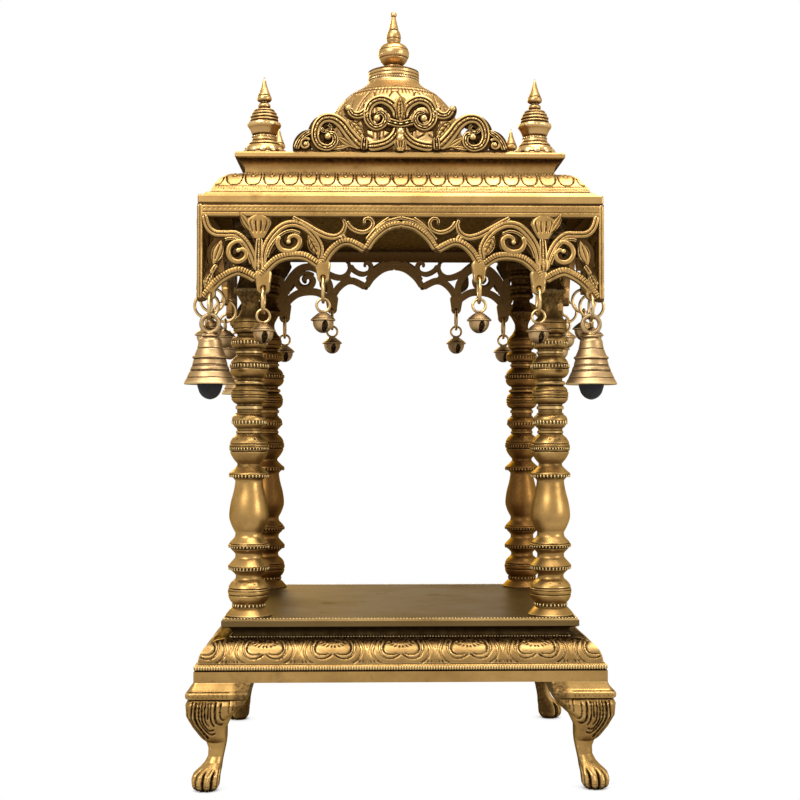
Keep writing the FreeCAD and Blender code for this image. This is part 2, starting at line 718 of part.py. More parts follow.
def bell_levels():
    """Crown top, mouth and staple heights of a hung bell."""
    loop, low = loop_below(BELL_LOOP_RADIUS, BELL_LOOP_WIRE)
    crown = low - BELL_COLLAR + BELL_LOOP_WIRE
    return crown, crown - BELL_HEIGHT


def bell_outline(crown, grow):
    """Outer (radius, height) steps of the bell from its mouth up, moved outwards by grow."""
    mouth = crown - BELL_HEIGHT
    return [
        (BELL_MOUTH + grow, mouth + 0.8),
        ((BELL_MOUTH - 3.7 + grow, mouth + 8.4), (BELL_MOUTH - 6.3 + grow, crown - 13.0)),
        ((BELL_MOUTH - 6.8 + grow, crown - 8.0), (BELL_MOUTH - 8.9 + grow, crown - 2.6)),
    ]


def bell():
    """Bell with its loop, collar, ridge, and the staple that holds the clapper."""
    crown, mouth = bell_levels()
    loop, low = loop_below(BELL_LOOP_RADIUS, BELL_LOOP_WIRE)
    outside = turned([(BELL_MOUTH - 0.2, mouth)] + bell_outline(crown, 0.0)
                     + [((6.0, crown - 0.8), (4.6, crown))])
    inside = turned([(BELL_MOUTH - BELL_WALL, mouth - 1.0)] + bell_outline(crown, -BELL_WALL)
                    + [(2.0, crown - 2.2)])
    ridge = turned([(8.0, crown - 13.0), (9.7, crown - 12.6), ((10.3, crown - 11.6), (9.3, crown - 10.8)),
                    (8.0, crown - 10.4)])
    shell = outside.fuse(ridge).cut(inside)
    collar = turned([(4.2, crown - 0.6), ((4.9, crown + 0.6), (4.0, crown + 1.4)), (3.0, crown + 1.8),
                     (2.6, low + 1.2)])
    staple = Part.makeTorus(STAPLE_RADIUS, STAPLE_WIRE, V(0, 0, crown - 2.4), V(0, 1, 0))
    return fused([shell, collar, loop, staple])


def clapper():
    """Dark ball on a rod, with an eye round the bell's staple."""
    crown, mouth = bell_levels()
    staple_low = crown - 2.4 - STAPLE_RADIUS
    eye_radius = STAPLE_WIRE + RING_PLAY + STAPLE_WIRE + 0.5
    eye_top = staple_low + STAPLE_WIRE + 0.3 + STAPLE_WIRE
    eye = Part.makeTorus(eye_radius, STAPLE_WIRE, V(0, 0, eye_top - eye_radius), V(1, 0, 0))
    ball_middle = mouth - CLAPPER_BELOW_MOUTH + CLAPPER_RADIUS
    rod_top = eye_top - 2 * eye_radius
    rod = Part.makeCylinder(CLAPPER_ROD, rod_top - ball_middle, V(0, 0, ball_middle))
    ball = Part.makeSphere(CLAPPER_RADIUS, V(0, 0, ball_middle))
    return fused([eye, rod, ball])


def jingle():
    """Small closed bell with a flat brim, a slotted bowl and its own loop."""
    loop, low = loop_below(JINGLE_LOOP_RADIUS, JINGLE_LOOP_WIRE)
    top = low + JINGLE_LOOP_WIRE
    brim = top - 5.0
    bottom = brim - 8.0
    shoulder = [(JINGLE_RADIUS - 0.5, brim + 0.5), ((JINGLE_RADIUS - 2.9, brim + 3.2), (1.6, top))]
    outside = turned([(1.6, bottom), ((JINGLE_RADIUS - 1.5, bottom + 3.0), (JINGLE_RADIUS - 0.5, brim - 0.6)),
                      (JINGLE_RADIUS, brim - 0.5), (JINGLE_RADIUS, brim + 0.4)] + shoulder)
    room = JINGLE_RADIUS - JINGLE_WALL
    inside = turned([(1.2, bottom + JINGLE_WALL),
                     ((room - 1.6, bottom + 3.4), (room - 0.6, brim - 0.4)),
                     ((room - 3.4, brim + 1.6), (0.9, top - JINGLE_WALL))])
    slot_height = 5.0
    slot = Part.makeBox(JINGLE_SLOT, 2 * JINGLE_RADIUS, slot_height,
                        V(-JINGLE_SLOT / 2, -JINGLE_RADIUS, bottom - 1.0))
    pip = Part.makeCylinder(JINGLE_SLOT * 0.8, 2 * JINGLE_RADIUS,
                            V(0, -JINGLE_RADIUS, bottom + slot_height - 1.2), V(0, 1, 0))
    shell = outside.cut(inside).cut(slot).cut(pip)
    return fused([shell, loop])


def hung(solids, turn, place):
    """Solids hung from an eye, turned to face their valance and put at its eye."""
    moved = []
    for solid in solids:
        copy = solid.copy()
        copy.rotate(V(0, 0, 0), V(0, 0, 1), turn)
        copy.translate(place)
        moved.append(copy)
    return Part.makeCompound(moved)


# Assembly

def valance_plane(long_side):
    """Distance from the middle to a valance's mid-plane."""
    reach = VALANCE_HALF - VALANCE_THICK / 2
    return reach - PLAN_INSET if long_side else reach


def eye_places():
    """Name, turn and place of every jingle: four to a side."""
    places = {}
    side_half = VALANCE_HALF - PLAN_INSET - VALANCE_THICK
    stretch = side_half / VALANCE_DRAWN
    long_stretch = VALANCE_HALF / VALANCE_DRAWN
    depth = valance_plane(True)
    reach = valance_plane(False)
    for (u, v, radius), rank in zip(EYES, ("outer", "inner")):
        height = CEILING + v * VALANCE_DROP / DROP_DRAWN
        across = -u * long_stretch
        for name, sign in (("left", -1), ("right", 1)):
            places[f"front_jingle_{name}_{rank}"] = (0, V(sign * across, -depth, height))
            places[f"rear_jingle_{name}_{rank}"] = (180, V(sign * across, depth, height))
            places[f"{name}_jingle_front_{rank}"] = (90, V(sign * reach, u * stretch, height))
            places[f"{name}_jingle_rear_{rank}"] = (90, V(sign * reach, -u * stretch, height))
    return places


def bell_places():
    """Name and place of the four corner bells."""
    u, v, radius = BELL_EYE
    across = -u * VALANCE_HALF / VALANCE_DRAWN
    depth = valance_plane(True)
    height = CEILING + v * VALANCE_DROP / DROP_DRAWN
    return {
        "front_left": V(-across, -depth, height),
        "front_right": V(across, -depth, height),
        "rear_left": V(-across, depth, height),
        "rear_right": V(across, depth, height),
    }


def all_parts():
    """Every node of the mandir by name."""
    parts = {"base_moulding": base_moulding(), "base_plate": base_plate()}
    for corner, solid in four_corners(leg()).items():
        parts[f"{corner}_leg"] = solid
    for corner, solid in four_corners(post()).items():
        parts[f"{corner}_post"] = solid
    parts["canopy_slab"] = canopy_slab()
    parts["canopy_moulding"] = canopy_moulding()
    long_valance = valance(VALANCE_HALF, True)
    short_valance = valance(VALANCE_HALF - PLAN_INSET - VALANCE_THICK, False)
    for name, solid, turn, place in (
            ("front_valance", long_valance, 0, V(0, -valance_plane(True), 0)),
            ("rear_valance", long_valance, 180, V(0, valance_plane(True), 0)),
            ("left_valance", short_valance, -90, V(-valance_plane(False), 0, 0)),
            ("right_valance", short_valance, 90, V(valance_plane(False), 0, 0))):
        piece = solid.copy()
        piece.rotate(V(0, 0, 0), V(0, 0, 1), turn)
        piece.translate(place)
        parts[name] = piece
    parts["front_crest"] = crest()
    parts["dome"] = dome()
    parts["drum"] = drum()
    parts["kalash"] = kalash()
    for corner, solid in four_corners(turret()).items():
        parts[f"{corner}_turret"] = solid
    ring, big_bell, tongue, small_bell = hanging_ring(), bell(), clapper(), jingle()
    for corner, place in bell_places().items():
        parts[f"{corner}_bell"] = hung([ring, big_bell], 0, place)
        parts[f"{corner}_clapper"] = hung([tongue], 0, place)
    for name, (turn, place) in eye_places().items():
        parts[name] = hung([ring, small_bell], turn, place)
    return parts


def main():
    """Writes one STEP file for each node."""
    os.makedirs("parts", exist_ok=True)
    for name, shape in all_parts().items():
        solids = shape.Solids
        good = all(solid.isValid() and solid.Volume > 0 for solid in solids)
        print(f"{name}: {len(solids)} solid(s), {shape.Volume:.0f} mm3, valid {good}")
        shape.exportStep(f"parts/{name}.step")


main()
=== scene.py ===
"""Looks of a brass pooja mandir: carved bands, turned posts, openwork scrolls, hung bells and a studio.

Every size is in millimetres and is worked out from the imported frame, in whose coordinates the shrine
stands on the ground with its front towards -Y. Pieces are brought to metres when they are finished.
"""
from __future__ import annotations

import logging
import math
from dataclasses import dataclass, replace
from enum import Enum
from typing import Callable, Iterable, Sequence

import bmesh
import bpy
import numpy as np
from mathutils import Matrix, Vector


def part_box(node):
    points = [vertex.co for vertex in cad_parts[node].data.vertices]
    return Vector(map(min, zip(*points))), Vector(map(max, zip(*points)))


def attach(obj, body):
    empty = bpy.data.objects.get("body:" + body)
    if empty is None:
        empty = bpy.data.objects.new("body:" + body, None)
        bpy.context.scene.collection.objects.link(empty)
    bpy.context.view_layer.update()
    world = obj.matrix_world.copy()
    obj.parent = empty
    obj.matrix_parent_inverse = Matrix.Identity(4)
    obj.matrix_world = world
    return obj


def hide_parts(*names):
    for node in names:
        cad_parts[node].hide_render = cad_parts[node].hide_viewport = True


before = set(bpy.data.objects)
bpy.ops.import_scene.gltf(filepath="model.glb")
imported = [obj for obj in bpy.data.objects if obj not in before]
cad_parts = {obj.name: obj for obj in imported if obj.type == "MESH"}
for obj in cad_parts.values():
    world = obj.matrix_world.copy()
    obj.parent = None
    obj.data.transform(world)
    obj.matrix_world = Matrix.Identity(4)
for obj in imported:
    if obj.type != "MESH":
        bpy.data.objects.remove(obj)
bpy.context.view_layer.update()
LOG = logging.getLogger("mandir")

MM = 0.001
SHRINE = "shrine"
CORNERS = ("front_left", "front_right", "rear_left", "rear_right")
ROOF_FOOT = 393.9  # top of the cornice, on which the dome, the crest and the turrets stand
SET_BACK = 14.0  # how much further in the front and rear faces are than the side faces
CEILING = 0.362  # height, in metres, under which faces that look inwards get painted shade
WHITE = (1.0, 1.0, 1.0, 1.0)

Pair = tuple[float, float]
Colour = tuple[float, float, float]
Socket = bpy.types.NodeSocket
Step = tuple  # a point, or the pair of points that an arc goes through and ends at
Relief = tuple[np.ndarray, np.ndarray]


class Side(Enum):
    """A side of the shrine, as the turn about Z that brings the front to it, in degrees."""

    FRONT = 0.0
    RIGHT = 90.0
    REAR = 180.0
    LEFT = 270.0

    @property
    def along_x(self) -> bool:
        """True for the two sides that run along X."""
        return self in (Side.FRONT, Side.REAR)


# Finishes


@dataclass(frozen=True)
class BrassFinish:
    """A brass surface: its bare metal, the tarnish in broad patches, the grime and painted shade in its recesses,
    painted shade on undersides and on inward faces under the canopy, and edges lightened by wear and painted
    highlight.
    """

    name: str
    bright: Colour
    tarnish: Colour
    grime: Colour
    roughness: float = 0.30
    patch_scale: float = 38.0
    patch_share: float = 0.45
    recess_reach: float = 5.5
    recess_power: float = 1.6
    pitting: float = 0.10
    brushed: float = 0.0
    worn: Colour = (0.86, 0.64, 0.30)
    edge_wear_and_highlight: float = 0.7
    rim_tint: Colour = (0.72, 0.57, 0.39)
    stain: float = 0.45
    inner_shade: float = 0.62
    under_shade: float = 0.55


POLISHED = BrassFinish("polished_brass", (0.45, 0.268, 0.088), (0.15, 0.078, 0.020), (0.014, 0.005, 0.002),
                       roughness=0.33, patch_share=0.6)
# a lighter copy of the polished brass for the canopy: painted light from above
TOP_LIT = replace(POLISHED, name="gilt_brass", bright=(0.55, 0.335, 0.118), tarnish=(0.24, 0.13, 0.038))
# a darker copy of the polished brass for the base band: painted shade of the canopy
CARVED = replace(POLISHED, name="carved_brass", bright=(0.37, 0.222, 0.076), tarnish=(0.12, 0.062, 0.017),
                 recess_reach=6.5)
PLAIN = replace(POLISHED, name="plain_brass", edge_wear_and_highlight=0.0, patch_scale=26.0, recess_reach=9.0,
                rim_tint=(0.60, 0.50, 0.38))
# lighter copy for the canopy's plain parts: painted light from above, with painted shade on its undersides
TOP_LIT_PLAIN = replace(TOP_LIT, name="gilt_plain_brass", edge_wear_and_highlight=0.0, patch_scale=26.0, recess_reach=7.0,
                     under_shade=0.8, rim_tint=(0.62, 0.52, 0.39))
# painted shade: near-black brass for the sunk plates behind the openwork
SHADED_GROUND = BrassFinish("shaded_brass", (0.075, 0.038, 0.012), (0.04, 0.018, 0.005), (0.012, 0.005, 0.002),
                     roughness=0.5, edge_wear_and_highlight=0.0)
# a darker copy of the polished brass for the rear posts and the rear and side reliefs: painted shade
SHADED_COPY = BrassFinish("shaded_copy_brass", (0.27, 0.132, 0.034), (0.10, 0.040, 0.009), (0.012, 0.004, 0.002),
                   worn=(0.50, 0.29, 0.10), roughness=0.36, patch_share=0.6, inner_shade=0.3)
# darker still for the plain backs of the rear and side valances, seen inside the canopy: painted shade
SHADED_INNER = replace(SHADED_COPY, name="shaded_inner_brass", bright=(0.22, 0.13, 0.045), edge_wear_and_highlight=0.0, inner_shade=0.38)
SMOOTH = BrassFinish("smooth_brass", (0.56, 0.345, 0.135), (0.26, 0.14, 0.045), (0.03, 0.011, 0.004),
                     roughness=0.27, patch_scale=24.0, patch_share=0.6, pitting=0.05, inner_shade=0.2, stain=0.2)
DOMED = replace(SMOOTH, name="dome_brass", bright=(0.50, 0.315, 0.128), roughness=0.36, patch_scale=40.0)
# darker than the other brass: painted reflection of darker surroundings on the plate's flat top
PLATE = BrassFinish("plate_brass", (0.17, 0.108, 0.040), (0.11, 0.064, 0.021), (0.03, 0.014, 0.005),
                    roughness=0.38, patch_scale=14.0, patch_share=0.6, pitting=0.04, brushed=0.5, edge_wear_and_highlight=0.0,
                    recess_reach=8.0, rim_tint=(0.56, 0.49, 0.40))
BELL = BrassFinish("bell_brass", (0.48, 0.315, 0.150), (0.24, 0.14, 0.060), (0.014, 0.006, 0.003),
                   roughness=0.38, patch_scale=60.0, patch_share=0.5, pitting=0.03, brushed=0.35,
                   inner_shade=0.35, stain=0.25)


@dataclass(frozen=True)
class IronFinish:
    """The dull black of the clappers."""

    name: str = "black_iron"
    dark: Colour = (0.012, 0.012, 0.013)
    pale: Colour = (0.02, 0.018, 0.017)
    roughness: float = 0.55
    sheen: float = 0.12


def new_group(name: str, inputs: Sequence[tuple], outputs: Sequence[tuple]) -> bpy.types.NodeTree:
    """Makes an empty shader group.

    Args:
        name: the group's name.
        inputs: (name, socket type, default) of each input.
        outputs: (name, socket type) of each output.

    Returns:
        The group, with its input and output nodes in place.
    """
    group = bpy.data.node_groups.new(name, "ShaderNodeTree")
    for title, kind, value in inputs:
        socket = group.interface.new_socket(name=title, in_out="INPUT", socket_type=kind)
        socket.default_value = value
    for title, kind in outputs:
        group.interface.new_socket(name=title, in_out="OUTPUT", socket_type=kind)
    group.nodes.new("NodeGroupInput").name = "in"
    group.nodes.new("NodeGroupOutput").name = "out"
    return group


@dataclass
class NodeBench:
    """A node tree with short calls for the nodes that the finishes use."""

    tree: bpy.types.NodeTree

    def node(self, kind: str, **values: object) -> bpy.types.Node:
        """Adds a node and sets its properties."""
        made = self.tree.nodes.new(kind)
        for key, value in values.items():
            setattr(made, key, value)
        return made

    def link(self, source: Socket, target: Socket) -> None:
        """Joins two sockets."""
        self.tree.links.new(source, target)

    def feed(self, target: Socket, value: object) -> None:
        """Links a socket or sets a plain value on the target."""
        if isinstance(value, Socket):
            self.link(value, target)
        else:
            target.default_value = value

    def fill(self, made: bpy.types.Node, values: dict[str, object]) -> bpy.types.Node:
        """Feeds a node's inputs by name and returns the node."""
        for title, value in values.items():
            self.feed(made.inputs[title], value)
        return made

    def maths(self, operation: str, first: object, second: object = 0.0, third: object = 0.0,
              clamp: bool = False) -> Socket:
        """Adds a Math node and returns its result."""
        made = self.node("ShaderNodeMath", operation=operation, use_clamp=clamp)
        for socket, value in zip(made.inputs, (first, second, third)):
            self.feed(socket, value)
        return made.outputs[0]

    def remap(self, value: object, low: float, high: float, to_low: float = 0.0,
              to_high: float = 1.0) -> Socket:
        """Adds a clamped Map Range node and returns its result."""
        made = self.node("ShaderNodeMapRange", clamp=True)
        for socket, entry in zip(made.inputs, (value, low, high, to_low, to_high)):
            self.feed(socket, entry)
        return made.outputs[0]

    def mix(self, share: object, first: object, second: object) -> Socket:
        """Adds a colour Mix node and returns its colour."""
        made = self.node("ShaderNodeMix", data_type="RGBA")
        for index, value in ((0, share), (6, first), (7, second)):
            self.feed(made.inputs[index], value)
        return made.outputs[2]

    def noise(self, vector: object, scale: object, detail: float = 4.0, roughness: float = 0.55) -> Socket:
        """Adds a Noise Texture and returns its factor."""
        made = self.fill(self.node("ShaderNodeTexNoise"),
                         {"Vector": vector, "Scale": scale, "Detail": detail, "Roughness": roughness})
        return made.outputs["Fac"]

    def vector(self, operation: str, first: object, second: object = None) -> bpy.types.Node:
        """Adds a Vector Math node and returns it."""
        made = self.node("ShaderNodeVectorMath", operation=operation)
        self.feed(made.inputs[0], first)
        if second is not None:
            self.feed(made.inputs[1], second)
        return made

    def blend(self, share: object, first: bpy.types.Node, second: bpy.types.Node, target: Socket) -> None:
        """Mixes two shaders into a surface."""
        made = self.node("ShaderNodeMixShader")
        for socket, value in zip(made.inputs, (share, first.outputs[0], second.outputs[0])):
            self.feed(socket, value)
        self.link(made.outputs[0], target)


def blank_material(name: str) -> tuple[bpy.types.Material, NodeBench, bpy.types.Node]:
    """Starts a material: itself, a bench on its nodes and its shader."""
    material = bpy.data.materials.new(name)
    material.use_nodes = True
    return material, NodeBench(material.node_tree), material.node_tree.nodes["Principled BSDF"]


class Workshop:
    """Builds each material once, from node groups that the brass finishes share."""

    def __init__(self) -> None:
        """Builds the shared groups."""
        self.materials: dict[str, bpy.types.Material] = {}
        self.patina_and_shade = self._patina_and_shade_group()

    @staticmethod
    def _patina_and_shade_group() -> bpy.types.NodeTree:
        """Colour, roughness and height of aged brass from a recess mask, with painted shade on undersides and on
        inward faces under the canopy.

        Returns:
            The group.
        """
        group = new_group("aged_and_shaded_brass", [
            ("Position", "NodeSocketVector", (0.0, 0.0, 0.0)),
            ("Facing", "NodeSocketVector", (0.0, 0.0, 1.0)),
            ("Inner Shade", "NodeSocketFloat", 0.5),
            ("Under Shade", "NodeSocketFloat", 0.5),
            ("Recess", "NodeSocketFloat", 0.0),
            ("Edge", "NodeSocketFloat", 0.0),
            ("Bright", "NodeSocketColor", (0.8, 0.6, 0.3, 1.0)),
            ("Tarnish", "NodeSocketColor", (0.5, 0.3, 0.1, 1.0)),
            ("Grime", "NodeSocketColor", (0.05, 0.02, 0.01, 1.0)),
            ("Worn", "NodeSocketColor", (0.9, 0.7, 0.4, 1.0)),
            ("Patch Scale", "NodeSocketFloat", 40.0),
            ("Patch Share", "NodeSocketFloat", 0.4),
            ("Roughness", "NodeSocketFloat", 0.3),
            ("Pitting", "NodeSocketFloat", 0.1),
            ("Brushed", "NodeSocketFloat", 0.0),
            ("Stain", "NodeSocketFloat", 0.4),
        ], [
            ("Color", "NodeSocketColor"),
            ("Roughness", "NodeSocketFloat"),
            ("Height", "NodeSocketFloat"),
        ])
        bench = NodeBench(group)
        inlet, outlet = group.nodes["in"].outputs, group.nodes["out"].inputs
        place = inlet["Position"]
        patches = bench.noise(place, inlet["Patch Scale"], 5.0, 0.6)
        fine = bench.noise(place, bench.maths("MULTIPLY", inlet["Patch Scale"], 14.0), 3.0, 0.6)
        tarnish = bench.maths("MULTIPLY", bench.remap(patches, 0.38, 0.66), inlet["Patch Share"])
        speckle = bench.remap(fine, 0.60, 0.78, 0.0, 0.35)
        tarnish = bench.maths("ADD", tarnish, speckle, clamp=True)
        tarnish = bench.maths("SUBTRACT", tarnish, inlet["Edge"], clamp=True)
        # painted shade on undersides and on inward faces under the canopy, mixed in through the tarnish and grime
        # colours
        painted_shade = Workshop._painted_shade_share(bench, place, inlet["Facing"], inlet["Inner Shade"], inlet["Under Shade"])
        tarnish = bench.maths("MAXIMUM", tarnish, bench.maths("MULTIPLY", painted_shade, 1.5, clamp=True))
        colour = bench.mix(tarnish, inlet["Bright"], inlet["Tarnish"])
        ragged = bench.remap(fine, 0.25, 0.75, 0.55, 1.35)
        recess = bench.maths("MULTIPLY", inlet["Recess"], ragged, clamp=True)
        recess = bench.maths("MAXIMUM", recess, bench.maths("MULTIPLY", painted_shade, ragged, clamp=True))
        stain = bench.remap(bench.noise(place, 31.0, 6.0, 0.66), 0.60, 0.74, 0.0, inlet["Stain"])
        recess = bench.maths("MAXIMUM", recess, bench.maths("MULTIPLY", stain, ragged, clamp=True))
        # edges lightened by wear and by painted highlight
        colour = bench.mix(bench.maths("MULTIPLY", inlet["Edge"], 0.85), colour, inlet["Worn"])
        colour = bench.mix(recess, colour, inlet["Grime"])
        spread = bench.fill(bench.node("ShaderNodeMapping", vector_type="POINT"),
                            {"Vector": place, "Scale": (0.05, 1.0, 1.0)})
        strokes = bench.noise(spread.outputs[0], 1800.0, 2.0, 0.5)
        strokes = bench.maths("MULTIPLY", bench.maths("SUBTRACT", strokes, 0.5), inlet["Brushed"])
        rough = bench.maths("MULTIPLY_ADD", tarnish, 0.16, inlet["Roughness"])
        rough = bench.maths("MULTIPLY_ADD", recess, 0.30, rough)
        rough = bench.maths("MULTIPLY_ADD", strokes, 0.25, rough, clamp=True)
        height = bench.maths("MULTIPLY", fine, inlet["Pitting"])
        height = bench.maths("MULTIPLY_ADD", strokes, 0.25, height)
        height = bench.maths("MULTIPLY_ADD", patches, 0.12, height)
        for title, value in (("Color", colour), ("Roughness", rough), ("Height", height)):
            bench.link(value, outlet[title])
        return group

    @staticmethod
    def _painted_shade_share(bench: NodeBench, place: Socket, facing: Socket, inner: Socket, under: Socket) -> Socket:
        """How much painted shade a surface gets: faces under the canopy that look inwards, and undersides.

        Args:
            bench: the tree that the nodes go into.
            place: the place on the object.
            facing: the surface's direction.
            inner: the share on faces that look inwards.
            under: the share on faces that look down.

        Returns:
            The share.
        """
        flat = bench.vector("MULTIPLY", place, (1.0, 1.0, 0.0))
        outward = bench.vector("NORMALIZE", flat.outputs[0])
        turned = bench.vector("DOT_PRODUCT", outward.outputs[0], facing)
        inwards = bench.remap(bench.maths("MULTIPLY", turned.outputs["Value"], -1.0), 0.05, 0.7)
        height = bench.fill(bench.node("ShaderNodeSeparateXYZ"), {"Vector": place}).outputs["Z"]
        low_enough = bench.remap(bench.maths("SUBTRACT", CEILING, height), 0.0, 0.004)
        inwards = bench.maths("MULTIPLY", bench.maths("MULTIPLY", inwards, low_enough), inner)
        upwards = bench.fill(bench.node("ShaderNodeSeparateXYZ"), {"Vector": facing}).outputs["Z"]
        downwards = bench.remap(bench.maths("MULTIPLY", upwards, -1.0), 0.35, 0.85)
        return bench.maths("MAXIMUM", inwards, bench.maths("MULTIPLY", downwards, under))

    def brass(self, finish: BrassFinish) -> bpy.types.Material:
        """The material of a brass finish.

        Args:
            finish: the finish.

        Returns:
            Its material, made on first use.
        """
        if finish.name in self.materials:
            return self.materials[finish.name]
        material, bench, shader = blank_material(finish.name)
        self.materials[finish.name] = material
        where = bench.node("ShaderNodeTexCoord")
        # grime and painted shade in recesses, from ambient occlusion
        shade = bench.node("ShaderNodeAmbientOcclusion", samples=8, only_local=False)
        shade.inputs["Distance"].default_value = finish.recess_reach * MM
        painted_shade = bench.maths("SUBTRACT", 1.0, shade.outputs["AO"], clamp=True)
        painted_shade = bench.remap(painted_shade, 0.20, 0.72)
        recess = bench.maths("POWER", painted_shade, 1.0 / finish.recess_power)
        marked = bench.node("ShaderNodeAttribute", attribute_name="grime").outputs["Fac"]
        recess = bench.maths("MAXIMUM", recess, bench.remap(marked, 0.15, 0.85))
        worn: object = 0.0
        # lighter edges from Pointiness: wear and painted highlight
        if finish.edge_wear_and_highlight:
            worn = bench.remap(bench.node("ShaderNodeNewGeometry").outputs["Pointiness"], 0.52, 0.60,
                               0.0, finish.edge_wear_and_highlight)
        skin = bench.fill(bench.node("ShaderNodeGroup", node_tree=self.patina_and_shade), {
            "Position": where.outputs["Object"], "Facing": where.outputs["Normal"],
            "Inner Shade": finish.inner_shade, "Under Shade": finish.under_shade, "Recess": recess, "Edge": worn,
            "Bright": (*finish.bright, 1.0), "Tarnish": (*finish.tarnish, 1.0), "Grime": (*finish.grime, 1.0),
            "Worn": (*finish.worn, 1.0), "Patch Scale": finish.patch_scale, "Patch Share": finish.patch_share,
            "Roughness": finish.roughness, "Pitting": finish.pitting, "Brushed": finish.brushed,
            "Stain": finish.stain,
        }).outputs
        bump = bench.fill(bench.node("ShaderNodeBump"),
                          {"Strength": 0.35, "Distance": 0.25 * MM, "Height": skin["Height"]})
        bench.fill(shader, {"Base Color": skin["Color"], "Roughness": skin["Roughness"],
                            "Normal": bump.outputs["Normal"], "Metallic": 1.0,
                            "Specular Tint": (*finish.rim_tint, 1.0)})
        return material

    @staticmethod
    def iron(finish: IronFinish) -> bpy.types.Material:
        """The material of the clappers.

        Args:
            finish: the finish.

        Returns:
            Its material.
        """
        material, bench, shader = blank_material(finish.name)
        grain = bench.noise(bench.node("ShaderNodeTexCoord").outputs["Object"], 900.0)
        rough = bench.remap(grain, 0.3, 0.7, finish.roughness, finish.roughness + 0.2)
        bench.fill(shader, {"Base Color": bench.mix(grain, (*finish.dark, 1.0), (*finish.pale, 1.0)),
                            "Specular IOR Level": finish.sheen, "Roughness": rough})
        return material


# Mesh bench


